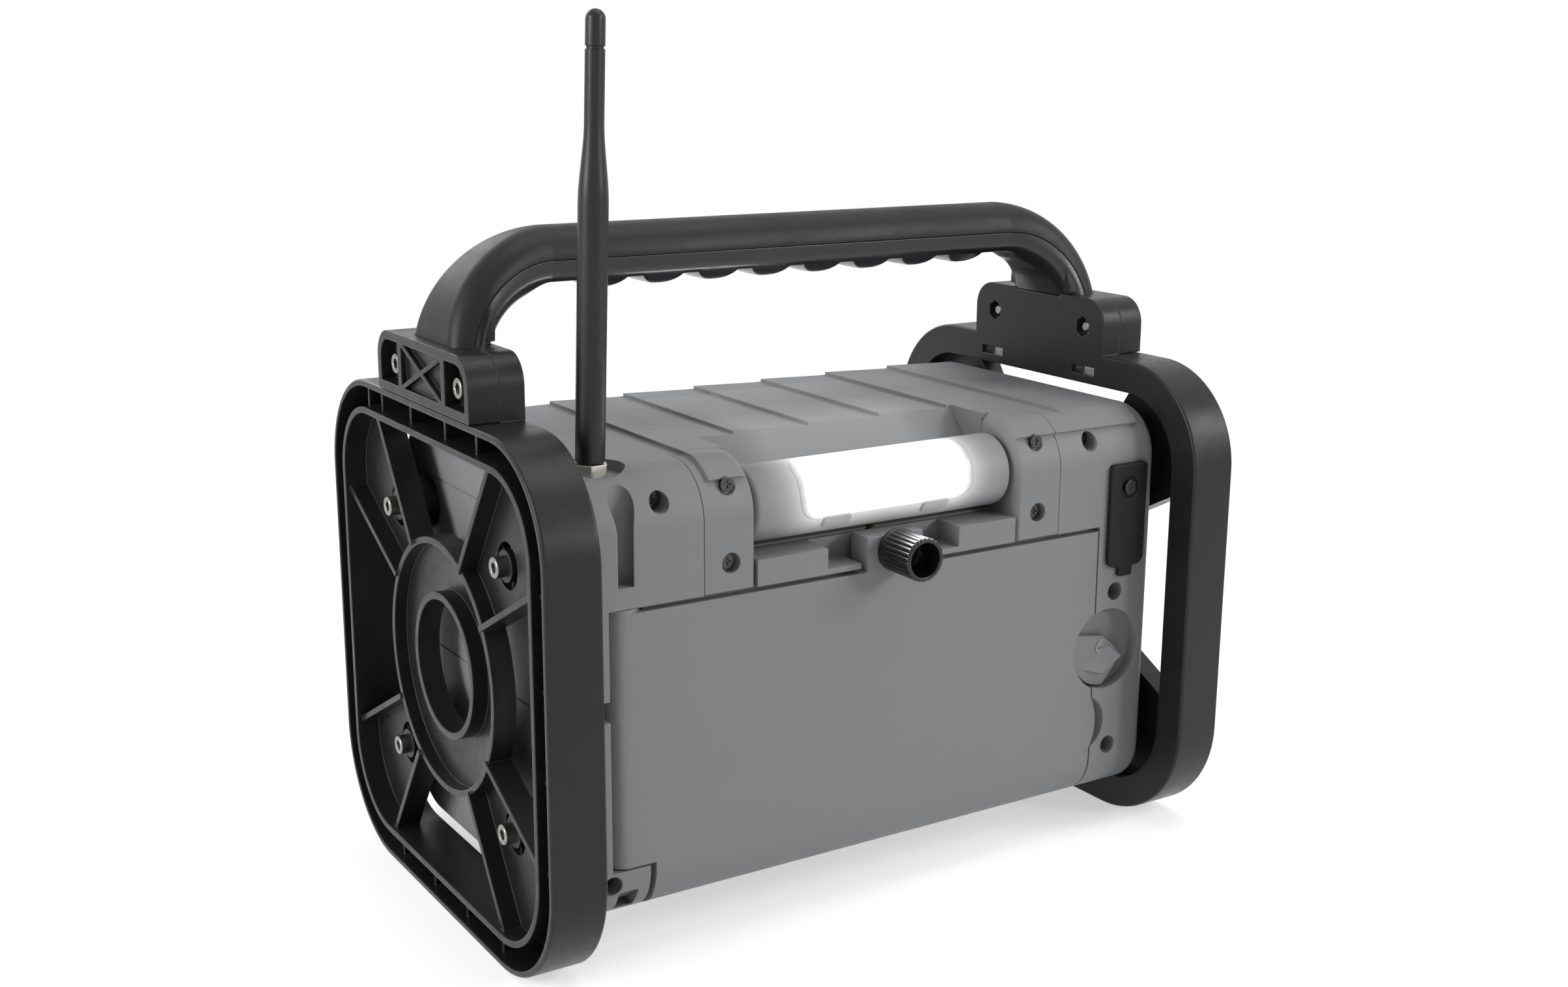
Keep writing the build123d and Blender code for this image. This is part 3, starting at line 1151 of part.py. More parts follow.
def speaker_grille():
    """A round grille with slots that fill its circle."""
    y0 = FRONT_Y - GRILLE_PROUD
    plate = rod_y(0, 0, GRILLE_R, y0, y0 + GRILLE_THICK)
    pitch = 2 * (GRILLE_R - GRILLE_RIM) / GRILLE_BARS
    for index in range(GRILLE_BARS):
        z = (index - (GRILLE_BARS - 1) / 2) * pitch
        half = sqrt((GRILLE_R - GRILLE_RIM) ** 2 - z ** 2)
        slot = Pos(0, z) * SlotOverall(2 * half, GRILLE_SLOT)
        plate -= prism_y(slot, y0 - 1, y0 + GRILLE_THICK + 1)
    return plate


def speaker_frame():
    """The driver's flange and open basket as one pressed piece."""
    front = FRONT_Y + WALL
    lip_r = DRIVER_R - 2 * DRIVER_IN
    neck = MAGNET_R * 0.8
    profile = outline(
        (DRIVER_R, front), (DRIVER_R, front + DRIVER_FLANGE), (DRIVER_R - DRIVER_IN, front + DRIVER_FLANGE),
        (neck, BASKET_BACK), (0, BASKET_BACK), (0, BASKET_BACK - BASKET_WALL),
        (neck - BASKET_WALL, BASKET_BACK - BASKET_WALL), (lip_r, front + DRIVER_FLANGE), (lip_r, front))
    return revolve(Plane.XY * profile, Axis.Y)


def speaker_cone():
    """The cone with its roll surround and dust cap."""
    front = FRONT_Y + WALL + 1
    edge = DRIVER_R - 2 * DRIVER_IN - GAP
    neck = front + CONE_DEEP
    cap = neck - CONE_THICK - CONE_ROLL / 2
    profile = outline(
        (edge, front), (edge, front + CONE_THICK), (edge - CONE_ROLL, front + 2 * CONE_THICK), (DUST_CAP_R, neck),
        (0, cap), (0, cap - CONE_THICK), (DUST_CAP_R - CONE_THICK, neck - 2 * CONE_THICK),
        (edge - CONE_ROLL, front + CONE_THICK / 2), (edge - CONE_ROLL / 2, front - CONE_THICK / 2))
    return revolve(Plane.XY * profile, Axis.Y)


def speaker_magnet():
    """The ring magnet behind the basket."""
    return rod_y(0, 0, MAGNET_R, BASKET_BACK, BASKET_BACK + MAGNET_LONG)


def at_speakers(shape):
    """Two copies, one per speaker."""
    return [Pos(side * SPEAKER_X, 0, SPEAKER_Z) * shape for side in (-1, 1)]


def key_places():
    """Key centres as (X, Z), left to right and top to bottom."""
    return [(column * KEY_PITCH_X, z) for z in (KEY_TOP_Z, KEY_LOW_Z) for column in (-1, 0, 1)]


def window_face(inset=0.0):
    """The outline of the display's window, moved inwards by inset."""
    half = WINDOW_HALF - inset
    return round_rectangle(-half, half, WINDOW_LOW + inset, WINDOW_HIGH - inset, WINDOW_CORNER - inset)


def control_panel():
    """The centre panel with openings for the window, keys and dial."""
    face = round_rectangle(-PANEL_HALF, PANEL_HALF, PANEL_LOW, PANEL_HIGH, PANEL_CORNER)
    panel = prism_y(face, PANEL_FRONT, PANEL_BACK)
    panel -= prism_y(offset(window_face(), WINDOW_LEDGE), PANEL_FRONT - 1, PANEL_FRONT + WINDOW_THICK)
    panel -= prism_y(window_face(), PANEL_FRONT - 1, PANEL_BACK + 1)
    for x, z in key_places():
        half_x = KEY_WIDE / 2 + GAP
        half_z = KEY_TALL / 2 + GAP
        panel -= block(x - half_x, x + half_x, PANEL_FRONT - 1, PANEL_BACK + 1, z - half_z, z + half_z)
    panel -= rod_y(0, DIAL_Z, SLEEVE_R + RUN, PANEL_FRONT - 1, PANEL_BACK + 1)
    for x, z in key_board_corners():
        panel += rod_y(x, z, KEY_POST_R, PANEL_BACK - 1, KEY_BOARD_Y)
    return panel


def display_window():
    """The clear window over the display."""
    return prism_y(offset(window_face(), WINDOW_LEDGE - GAP / 2), PANEL_FRONT, PANEL_FRONT + WINDOW_THICK)


def display_module():
    """The liquid-crystal module behind the window."""
    y0 = PANEL_FRONT + WINDOW_THICK
    return prism_y(window_face(GAP), y0, y0 + DISPLAY_DEEP)


def key(x, z):
    """One key: a cap that stands proud, with a flange behind the panel."""
    half_x, half_z = KEY_WIDE / 2, KEY_TALL / 2
    y0 = PANEL_BACK + GAP
    y1 = y0 + KEY_FLANGE
    face = round_rectangle(x - half_x, x + half_x, z - half_z, z + half_z, KEY_CORNER)
    lip_x, lip_z = half_x + KEY_LIP, half_z + KEY_LIP
    return prism_y(face, PANEL_FRONT - KEY_PROUD, y1) + block(x - lip_x, x + lip_x, y0, y1, z - lip_z, z + lip_z)


def ribbed(radius, length, ribs, rib_r, y0):
    """A ribbed drum along Y from y0 towards -Y, plain at its back."""
    drum = rod_y(0, 0, radius, y0 - length, y0)
    out = radius + rib_r / 2
    for index in range(ribs):
        turn = radians(360 / ribs * index)
        drum -= rod_y(out * cos(turn), out * sin(turn), rib_r, y0 - length - 1, y0 - RIB_FOOT)
    return drum


def tuning_dial():
    """The large outer dial on its sleeve."""
    dial = ribbed(DIAL_R, DIAL_LONG, DIAL_RIBS, DIAL_RIB_R, DIAL_BACK)
    dial += rod_y(0, 0, SLEEVE_R, DIAL_BACK, SLEEVE_END)
    dial -= rod_y(0, 0, SHAFT_R + RUN, DIAL_BACK - DIAL_LONG - 1, SLEEVE_END + 1)
    return Pos(0, 0, DIAL_Z) * dial


def volume_knob():
    """The small knob on the inner shaft, in front of the dial."""
    knob = ribbed(VOLUME_R, VOLUME_LONG, VOLUME_RIBS, VOLUME_RIB_R, VOLUME_BACK)
    return Pos(0, 0, DIAL_Z) * (knob + rod_y(0, 0, SHAFT_R, VOLUME_BACK, SHAFT_END))


def control_encoder():
    """The dual encoder that carries both shafts."""
    y0 = PANEL_BACK + GAP
    body = block(-ENCODER_HALF, ENCODER_HALF, y0, y0 + ENCODER_LONG, -ENCODER_HALF, ENCODER_HALF)
    body -= rod_y(0, 0, SLEEVE_R + RUN, y0 - 1, SLEEVE_END + GAP)
    body -= rod_y(0, 0, SHAFT_R + RUN, y0 - 1, SHAFT_END + GAP)
    return Pos(0, 0, DIAL_Z) * body


def key_board_corners():
    """Where the key board is held, as (X, Z)."""
    half_x = PANEL_HALF - KEY_BOARD_IN - KEY_POST_IN
    half_z = KEY_BOARD_TALL / 2 - KEY_POST_IN
    return [(sx * half_x, KEY_BOARD_Z + sz * half_z) for sx in (-1, 1) for sz in (-1, 1)]


def key_board():
    """The board behind the keys."""
    half_x = PANEL_HALF - KEY_BOARD_IN
    half_z = KEY_BOARD_TALL / 2
    return block(-half_x, half_x, KEY_BOARD_Y, KEY_BOARD_Y + BOARD_THICK, KEY_BOARD_Z - half_z, KEY_BOARD_Z + half_z)


def main_board():
    """The main circuit board on its four posts, with a shield and a heat sink."""
    y1 = CORE_REAR - POST_LONG - GAP / 3
    y0 = y1 - BOARD_THICK
    half_x, half_z = BOARD_WIDE / 2, BOARD_TALL / 2
    board = block(-half_x, half_x, y0, y1, MID_Z - half_z, MID_Z + half_z)
    for (x0, x1, z0, z1), tall in ((SHIELD, SHIELD_TALL), (SINK, SINK_TALL)):
        board += block(x0, x1, y0 - tall, y0, MID_Z + z0, MID_Z + z1)
    return board


# ================================================================ lamp
def along_aim():
    """The plane through the lamp's axis that faces along the lamp's aim."""
    aim = radians(LENS_TILT)
    return Plane(origin=(0, LAMP_Y, LAMP_Z), x_dir=(1, 0, 0), z_dir=(0, cos(aim), sin(aim)))


def lens_window(gap):
    """The prism through the lamp tube that its lens fills, or with gap the room that it needs."""
    face = RectangleRounded(LENS_LONG + gap, LENS_WIDE + gap, LENS_CORNER)
    return extrude(along_aim() * face, LAMP_R + 2)


def lens_tabs(gap):
    """The two clip tabs on the lens's lower edge."""
    half = LENS_TAB / 2 + gap
    low = -LENS_WIDE / 2 - LENS_TAB_DEEP - gap
    tabs = [extrude(along_aim() * rectangle(x - half, x + half, low, 2 - LENS_WIDE / 2), LAMP_R + 2)
            for x in (-LENS_TAB_X, LENS_TAB_X)]
    return tabs[0] + tabs[1]


def lamp_tube():
    """The lamp's tube with round-edged closed ends and two trunnions."""
    tube = rod_x(LAMP_Y, LAMP_Z, LAMP_R, -LAMP_HALF, LAMP_HALF)
    tube = fillet(tube.edges().filter_by(GeomType.CIRCLE), LAMP_EDGE)
    hollow = LAMP_HALF - LAMP_CAP
    tube -= rod_x(LAMP_Y, LAMP_Z, LAMP_R - LAMP_WALL, -hollow, hollow)
    tube -= lens_window(GAP)
    tube -= lens_tabs(GAP / 2)
    reach = RECESS_HALF + TRUNNION_LONG
    for x0, x1 in ((LAMP_HALF - 1, reach), (-reach, 1 - LAMP_HALF)):
        tube += rod_x(LAMP_Y, LAMP_Z, TRUNNION_R, x0, x1)
    return tube


def lamp_lens():
    """The clear curved lens with its clip tabs."""
    half = (LENS_LONG + LENS_CORNER) / 2
    wall = rod_x(LAMP_Y, LAMP_Z, LAMP_R, -half, half) - rod_x(LAMP_Y, LAMP_Z, LAMP_R - LENS_WALL, -half, half)
    return wall & (lens_window(0) + lens_tabs(0))


def tilted(shape):
    """Turns a lamp part from facing +Y to facing along the lamp's aim."""
    return Pos(0, LAMP_Y, LAMP_Z) * Rot(LENS_TILT, 0, 0) * shape


def lamp_board():
    """The light-emitting diodes on their strip, behind the lens."""
    half = LENS_LONG / 2 - STRIP_THICK
    strip = block(-half, half, -STRIP_THICK, 0, -STRIP_WIDE / 2, STRIP_WIDE / 2)
    pitch = (LENS_LONG - 3 * DIODE) / DIODES
    for index in range(DIODES):
        x = (index - (DIODES - 1) / 2) * pitch
        strip += block(x - DIODE / 2, x + DIODE / 2, -1, 1, -DIODE / 2, DIODE / 2)
    return tilted(strip)


def lamp_reflector():
    """A trough round the strip that throws its light forwards, on a plate across the tube."""
    half = LENS_LONG / 2
    foot = STRIP_WIDE / 2 + TROUGH_GAP
    mouth = foot + TROUGH_FLARE
    back = -STRIP_THICK - TROUGH_WALL
    side = outline((back, foot), (TROUGH_DEEP, mouth), (TROUGH_DEEP, mouth - TROUGH_WALL), (back, foot - TROUGH_WALL))
    trough = prism_x(side, -half, half) + prism_x(mirror(side, about=Plane.XZ), -half, half)
    trough -= block(-half, half, -STRIP_THICK - TROUGH_GAP / 2, 1, -foot + TROUGH_GAP / 2, foot - TROUGH_GAP / 2)
    inner = LAMP_R - LAMP_WALL - TROUGH_GAP
    reach = sqrt(inner ** 2 - (back - TROUGH_WALL) ** 2)
    plate = block(-half, half, back - TROUGH_WALL, -STRIP_THICK, -reach, reach)
    return tilted(trough + plate)


# ================================================================ thumbscrew and latch
def thumbscrew_knob():
    """The ribbed knob, hollow at its outer end."""
    end = KNOB_BACK + KNOB_LONG
    knob = rod_y(0, 0, KNOB_R, KNOB_BACK, end)
    out = KNOB_R + KNOB_GROOVE_OUT
    for index in range(KNOB_RIBS):
        turn = radians(360 / KNOB_RIBS * index)
        knob -= rod_y(out * cos(turn), out * sin(turn), KNOB_GROOVE_R, KNOB_BACK + KNOB_COLLAR, end + 1)
    knob -= rod_y(0, 0, KNOB_CUP_R, KNOB_CUP_Y, end + 1)
    knob -= rod_y(0, 0, SHANK_R, KNOB_BACK - 1, KNOB_CUP_Y)
    return Pos(TONGUE_X, 0, KNOB_Z) * knob


def thumbscrew_shank():
    """The screw's plain shank, with a groove for its retaining ring."""
    shank = rod_y(0, 0, SHANK_R, NOTCH_BACK - SHANK_BITE, KNOB_CUP_Y)
    groove = rod_y(0, 0, SHANK_R + 1, RING_Y - RING_THICK, RING_Y)
    groove -= rod_y(0, 0, SHANK_R - RING_GROOVE, RING_Y - 2 * RING_THICK, RING_Y + 1)
    return Pos(TONGUE_X, 0, KNOB_Z) * (shank - groove)


def retaining_ring():
    """The ring that keeps the thumbscrew in the door's tongue."""
    ring = rod_y(0, 0, SHANK_R + RING_PROUD, RING_Y - RING_THICK, RING_Y)
    ring -= rod_y(0, 0, SHANK_R - RING_GROOVE, RING_Y - 2 * RING_THICK, RING_Y + 1)
    return Pos(TONGUE_X, 0, KNOB_Z) * ring


def threaded_insert():
    """The insert in the notch's back wall that takes the thumbscrew."""
    body = rod_y(0, 0, INSERT_R, NOTCH_BACK - INSERT_LONG, NOTCH_BACK)
    body -= rod_y(0, 0, SHANK_R + SHANK_SLACK, NOTCH_BACK - SHANK_BITE - 1, NOTCH_BACK + 1)
    return Pos(TONGUE_X, 0, KNOB_Z) * body


def latch_plate():
    """The half-moon turn plate with its slanted finger ridge."""
    y0 = LATCH_FLOOR + GAP
    top = y0 + LATCH_PLATE
    radius = LATCH_R - LATCH_SLACK
    disc = rod_y(0, 0, radius, y0, top)
    disc -= block(-LATCH_R, LATCH_R, y0 - 1, REAR_Y + 1, LATCH_CHORD, LATCH_R)
    wedge = outline(
        (-LATCH_FIN_WIDE, top - 1), (LATCH_FIN_BACK, top - 1), (LATCH_FIN_CREST[1], top + LATCH_FIN_TALL),
        (LATCH_FIN_CREST[0], top + LATCH_FIN_TALL))
    half = LATCH_FIN_LONG / 2
    fin = extrude(Plane(origin=(-half, 0, 0), x_dir=(0, 0, -1), z_dir=(1, 0, 0)) * wedge, LATCH_FIN_LONG)
    fin = Pos(0, 0, -LATCH_FIN_DROP) * Rot(0, LATCH_FIN_TURN, 0) * fin
    plate = disc + (fin & rod_y(0, 0, radius, y0, REAR_Y))
    plate -= rod_y(0, 0, LATCH_PIVOT_R + RUN, y0 - 1, REAR_Y + 1)
    plate -= rod_y(0, 0, LATCH_HEAD_R + LATCH_HEAD_ROOM, top - LATCH_RECESS, REAR_Y + 1)
    return Pos(LATCH_X, 0, LATCH_Z) * plate


def latch_pivot():
    """The shouldered screw that the latch plate turns on."""
    head = LATCH_FLOOR + GAP + LATCH_PLATE - LATCH_RECESS + GAP / 2
    end = head + LATCH_HEAD
    screw = rod_y(0, 0, LATCH_PIVOT_R, LATCH_FLOOR, head) + rod_y(0, 0, LATCH_HEAD_R, head, end)
    screw += rod_y(0, 0, LATCH_SCREW_R, LATCH_FLOOR + GAP - LATCH_SCREW_LONG, LATCH_FLOOR)
    slot = LATCH_HEAD_R - LATCH_SCREW_R / 2
    screw -= block(-slot, slot, end - SLOT_DEEP, end + 1, -SLOT_WIDE / 2, SLOT_WIDE / 2)
    return Pos(LATCH_X, 0, LATCH_Z) * screw


# ================================================================ sockets
def cover_face():
    """The rubber cover's outline with its pull tab."""
    half = COVER_WIDE / 2
    face = rectangle(COVER_X - half, COVER_X + half, COVER_LOW, COVER_HIGH)
    face = fillet(face.vertices().group_by(Axis.Y)[0], COVER_CORNER)
    face = fillet(face.vertices().group_by(Axis.Y)[-1], COVER_TOP_CORNER)
    half = COVER_TAB_WIDE / 2
    tab = round_rectangle(COVER_X - half, COVER_X + half, COVER_LOW - COVER_TAB_LONG, COVER_LOW + COVER_TAB_ROOT,
                          COVER_TAB_CORNER)
    return face + tab


def socket_cover():
    """The rubber cover with a round recess for its screw."""
    y0 = REAR_Y + GAP
    end = y0 + COVER_THICK + 1
    cover = prism_y(cover_face(), y0, y0 + COVER_THICK)
    cover -= rod_y(COVER_X, COVER_SCREW_Z, COVER_SCREW_R + COVER_SCREW_ROOM, y0 + COVER_RECESS, end)
    return cover - rod_y(COVER_X, COVER_SCREW_Z, COVER_SCREW_SHANK + RUN, y0 - 1, end)


def cover_screw():
    """The cross-head screw that the cover turns on."""
    seat = REAR_Y + GAP + COVER_RECESS + GAP / 3
    screw = pan_screw(COVER_SCREW_R, COVER_SCREW_HEAD, COVER_SCREW_SHANK, COVER_SCREW_LONG)
    return facing_rear(COVER_X, seat, COVER_SCREW_Z) * screw


def socket_panel():
    """The plate behind the cover that carries the sockets."""
    half = SOCKET_WIDE / 2
    plate = block(COVER_X - half, COVER_X + half, SOCKET_FACE - SOCKET_PLATE, SOCKET_FACE, SOCKET_LOW, SOCKET_HIGH)
    for up, r in (POWER_SOCKET, SOUND_SOCKET):
        plate -= rod_y(COVER_X, SOCKET_LOW + up, r, SOCKET_BACK, REAR_Y)
    return plate


def socket(up, r):
    """One socket: a tube with a closed back, standing a little out of its plate."""
    z = SOCKET_LOW + up
    body = rod_y(COVER_X, z, r, SOCKET_BACK, SOCKET_FACE + SOCKET_WALL / 2)
    return body - rod_y(COVER_X, z, r - SOCKET_WALL, SOCKET_BACK + SOCKET_FLOOR, REAR_Y)


def sockets():
    """The power socket, with its centre pin, and the sound socket."""
    pin = rod_y(COVER_X, SOCKET_LOW + POWER_SOCKET[0], SOCKET_PIN_R, SOCKET_BACK + 1, SOCKET_FACE - 1)
    return [socket(*POWER_SOCKET) + pin, socket(*SOUND_SOCKET)]


# ================================================================ antenna
def on_antenna_axis(shape):
    """Places a piece, drawn upwards from the flat, on the leaning antenna's axis."""
    return Pos(ANT_X, ANT_Y, ANT_FLAT_Z) * Rot(0, -ANT_LEAN, 0) * shape


def antenna_whip():
    """The rubber whip: thick sleeve, short taper, thin tip with a groove and a round end."""
    groove_r = ANT_TIP_R - ANT_GROOVE
    low, high = ANT_GROOVE_UP - ANT_GROOVE, ANT_GROOVE_UP + ANT_GROOVE
    end = ANT_LONG - ANT_TIP_R
    profile = outline(
        (0, ANT_NUT), (ANT_R - ANT_FOOT, ANT_NUT), (ANT_R, ANT_NUT + ANT_FOOT), (ANT_R, ANT_TAPER_LOW),
        (ANT_TIP_R, ANT_TAPER_HIGH), (ANT_TIP_R, low), (groove_r, low), (groove_r, high), (ANT_TIP_R, high),
        (ANT_TIP_R, end), (0, end))
    rod = revolve(Plane.XZ * profile, Axis.Z) + Pos(0, 0, end) * Sphere(ANT_TIP_R)
    return on_antenna_axis(rod - rod_z(0, 0, ANT_STUD_R, 0, ANT_NUT + ANT_STUD_BITE))


def antenna_nut():
    """The hex nut under the sleeve, turned down at its corners."""
    corner_r = ANT_NUT_AF / sqrt(3)
    nut = hex_prism(ANT_NUT_AF, ANT_NUT) & rod_z(0, 0, corner_r - GAP, 0, ANT_NUT)
    return on_antenna_axis(Rot(0, 0, ANT_NUT_TURN) * (nut - rod_z(0, 0, ANT_STUD_R, 0, ANT_NUT)))


def antenna_stud():
    """The stud that joins the whip to the housing."""
    return on_antenna_axis(rod_z(0, 0, ANT_STUD_R, -ANT_STUD_LONG, ANT_NUT + ANT_STUD_BITE))


# ================================================================ battery bay
def row_places():
    """Centre height of each row of cells."""
    return [BAY_MID_Z + (index - (CELL_ROWS - 1) / 2) * CELL_PITCH for index in range(CELL_ROWS)]


def battery_tray():
    """A lining for the bay with a saddle under every cell."""
    half_x = BAY_HALF - GAP
    half_z = BAY_HALF_Z - GAP
    y0 = BAY_FLOOR + GAP
    tray = block(BAY_MID_X - half_x, BAY_MID_X + half_x, y0, TRAY_TOP, BAY_MID_Z - half_z, BAY_MID_Z + half_z)
    inner_x = half_x - TRAY_WALL
    inner_z = half_z - TRAY_WALL
    tray -= block(BAY_MID_X - inner_x, BAY_MID_X + inner_x, y0 + TRAY_WALL, TRAY_TOP + 1,
                  BAY_MID_Z - inner_z, BAY_MID_Z + inner_z)
    for step in range(2 * CELLS_IN_ROW):
        x = BAY_MID_X + (step - CELLS_IN_ROW + 0.5) * CELL_LONG / 2
        tray += block(x - SADDLE_HALF, x + SADDLE_HALF, y0, CELL_Y - SADDLE * CELL_R, BAY_MID_Z - half_z + 1,
                      BAY_MID_Z + half_z - 1)
    for z in row_places():
        tray -= rod_x(CELL_Y, z, CELL_R + GAP, BAY_MID_X - inner_x, BAY_MID_X + inner_x)
    return tray


def battery_cells():
    """Two rows of three round cells, each with its raised pole."""
    cells = []
    for row, z in enumerate(row_places()):
        facing = 1 if row % 2 == 0 else -1
        for index in range(CELLS_IN_ROW):
            x = BAY_MID_X + (index - (CELLS_IN_ROW - 1) / 2) * CELL_LONG
            pole = facing * (CELL_LONG / 2 - CELL_SLACK)
            shoulder = pole - facing * CELL_CAP
            x0, x1 = sorted((-pole, shoulder))
            body = rod_x(CELL_Y, z, CELL_R, x + x0, x + x1)
            x0, x1 = sorted((0, pole))
            cells.append(body + rod_x(CELL_Y, z, CELL_CAP_R, x + x0, x + x1))
    return cells


def battery_contacts():
    """The end plates, each with a pressed cone that reaches its cell."""
    inner = BAY_HALF - GAP - TRAY_WALL
    cone_long = BAY_END - GAP - 2 * CELL_SLACK - CONTACT_THICK
    cone = Cone(SPRING_R, SPRING_TIP_R, cone_long)
    half = CONTACT_HALF
    contacts = []
    for z in row_places():
        for side in (-1, 1):
            wall = BAY_MID_X + side * inner
            x0, x1 = sorted((wall, wall - side * CONTACT_THICK))
            plate = block(x0, x1, CELL_Y - half, CELL_Y + half, z - half, z + half)
            middle = wall - side * (CONTACT_THICK + cone_long / 2)
            contacts.append(plate + Pos(middle, CELL_Y, z) * Rot(0, -90 * side, 0) * cone)
    return contacts


# ================================================================ build
def main():
    """Build every node and write it."""
    os.makedirs("parts", exist_ok=True)
    form = body_form()
    save(rear_housing(form), "rear_housing")
    save(front_housing(form), "front_housing")
    save(cheek(form, 1), "lamp_cheek_right")
    save(cheek(form, -1), "lamp_cheek_left")
    save(cheek_screws(), "cheek_screws")
    save(housing_screws(), "housing_screws")

    right_guard, left_guard = both_sides(guard())
    save(right_guard, "guard_right")
    save(left_guard, "guard_left")
    right_cover, left_cover = both_sides(clamp_cover())
    save(right_cover, "clamp_cover_right")
    save(left_cover, "clamp_cover_left")
    for maker, node in ((guard_screws, "guard_screws"), (clamp_screws, "clamp_screws"), (clamp_nuts, "clamp_nuts")):
        one_side = maker()
        save(one_side + [mirror(piece, about=Plane.YZ) for piece in one_side], node)

    shell, grip = handle_halves(handle_solid())
    save(shell, "handle_shell")
    save(grip, "handle_grip")

    save(antenna_whip(), "antenna_whip")
    save(antenna_nut(), "antenna_nut")
    save(antenna_stud(), "antenna_stud")

    save(lamp_tube(), "lamp_tube")
    save(lamp_lens(), "lamp_lens")
    save(lamp_board(), "lamp_board")
    save(lamp_reflector(), "lamp_reflector")

    save(door_solid(form), "battery_door")
    save(door_seal(), "door_seal")
    save(door_pins(), "door_pins")
    save(thumbscrew_knob(), "thumbscrew_knob")
    save(thumbscrew_shank(), "thumbscrew_shank")
    save(retaining_ring(), "retaining_ring")
    save(threaded_insert(), "threaded_insert")
    save(latch_plate(), "latch_plate")
    save(latch_pivot(), "latch_pivot")

    save(socket_cover(), "socket_cover")
    save(cover_screw(), "cover_screw")
    save(socket_panel(), "socket_panel")
    save(sockets(), "sockets")

    save(battery_tray(), "battery_tray")
    save(battery_cells(), "battery_cells")
    save(battery_contacts(), "battery_contacts")
    save(main_board(), "main_board")

    for side, node in ((1, "right"), (-1, "left")):
        save(Pos(side * SPEAKER_X, 0, SPEAKER_Z) * speaker_grille(), f"speaker_grille_{node}")
    save(at_speakers(speaker_frame()), "speaker_frames")
    save(at_speakers(speaker_cone()), "speaker_cones")
    save(at_speakers(speaker_magnet()), "speaker_magnets")
    save(control_panel(), "control_panel")
    save(display_window(), "display_window")
    save(display_module(), "display_module")
    save(key_board(), "key_board")
    save(tuning_dial(), "tuning_dial")
    save(volume_knob(), "volume_knob")
    save(control_encoder(), "control_encoder")
    for number, (x, z) in enumerate(key_places(), start=1):
        save(key(x, z), f"key_{number}")


main()
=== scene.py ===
import logging
import math
from dataclasses import dataclass, field, replace
from enum import Enum

import bmesh
import bpy
import numpy as np
from mathutils import Matrix, Vector


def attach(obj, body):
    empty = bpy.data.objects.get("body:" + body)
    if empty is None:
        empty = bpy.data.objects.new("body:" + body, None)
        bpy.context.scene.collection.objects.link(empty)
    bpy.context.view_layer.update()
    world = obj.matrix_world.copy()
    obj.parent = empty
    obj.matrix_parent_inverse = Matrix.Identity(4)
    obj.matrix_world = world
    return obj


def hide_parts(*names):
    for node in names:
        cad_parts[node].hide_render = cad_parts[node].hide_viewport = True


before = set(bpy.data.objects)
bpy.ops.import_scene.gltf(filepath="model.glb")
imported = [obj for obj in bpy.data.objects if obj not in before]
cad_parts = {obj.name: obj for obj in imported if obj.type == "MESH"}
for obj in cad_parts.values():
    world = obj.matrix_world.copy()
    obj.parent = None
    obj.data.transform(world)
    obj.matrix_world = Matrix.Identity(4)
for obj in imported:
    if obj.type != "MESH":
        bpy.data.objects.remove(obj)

LOG = logging.getLogger("radio")
MM = 0.001
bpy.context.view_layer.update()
WHITE = (1, 1, 1, 1)
WEAR_AND_HIGHLIGHT_COLOUR = (0.75, 0.75, 0.74, 1.0)
WEAR_AND_HIGHLIGHT_PATCH = 2.4            # size of the patches that break up the painted edge wear and highlight, in millimetres
MARK_SIZE = 7.0             # size of the handling marks, in millimetres
COAT_ROUGHNESS = 0.08


# ------------------------------------------------------------------ small helpers
def linear(colour: str) -> tuple[float, float, float, float]:
    """Turn an sRGB hex colour into linear red, green, blue and a full alpha.

    Args:
        colour: six hex digits after a hash.

    Returns:
        The linear colour with alpha 1.
    """
    parts = np.array([int(colour[i:i + 2], 16) for i in (1, 3, 5)]) / 255.0
    low, high = parts / 12.92, ((parts + 0.055) / 1.055) ** 2.4
    value = np.where(parts <= 0.04045, low, high)
    return (float(value[0]), float(value[1]), float(value[2]), 1.0)


def add_node(tree: bpy.types.NodeTree, kind: str, settings: dict | None = None,
             links: dict | None = None) -> bpy.types.Node:
    """Add one node, set its values and link what feeds it.

    Args:
        tree: the node tree that gets the node.
        kind: the node's Blender type.
        settings: input names with values, or the node's own properties.
        links: input names or indices with the output socket that feeds each.

    Returns:
        The new node.
    """
    node = tree.nodes.new(kind)
    for key, value in (settings or {}).items():
        if isinstance(key, int) or key in node.inputs:
            node.inputs[key].default_value = value
        else:
            setattr(node, key, value)
    for key, source in (links or {}).items():
        tree.links.new(source, node.inputs[key])
    return node


def calc(tree: bpy.types.NodeTree, kind: str, first: object, second: object = 0.0) -> bpy.types.NodeSocket:
    """Add one sum of two values or sockets."""
    terms = {0: first, 1: second}
    sockets = {k: v for k, v in terms.items() if isinstance(v, bpy.types.NodeSocket)}
    values = {k: v for k, v in terms.items() if k not in sockets}
    return add_node(tree, "ShaderNodeMath", {"operation": kind, **values}, sockets).outputs[0]


def fresh_tree(owner: bpy.types.ID) -> bpy.types.NodeTree:
    """Switch on the nodes of a material or world, and empty them."""
    owner.use_nodes = True
    owner.node_tree.nodes.clear()
    return owner.node_tree


def enter(thing: bpy.types.Object) -> None:
    """Link an object into the scene."""
    bpy.context.scene.collection.objects.link(thing)


class Process(Enum):
    """How a surface was made, which says what pattern it carries."""

    SPARKED = "spark-eroded moulding texture"
    MOULDED = "plain satin moulding"
    POLISHED = "polished moulding"
    PLATED = "bright plating"
    BRUSHED = "brushed or turned metal"
    PAPER = "pressed fibre"


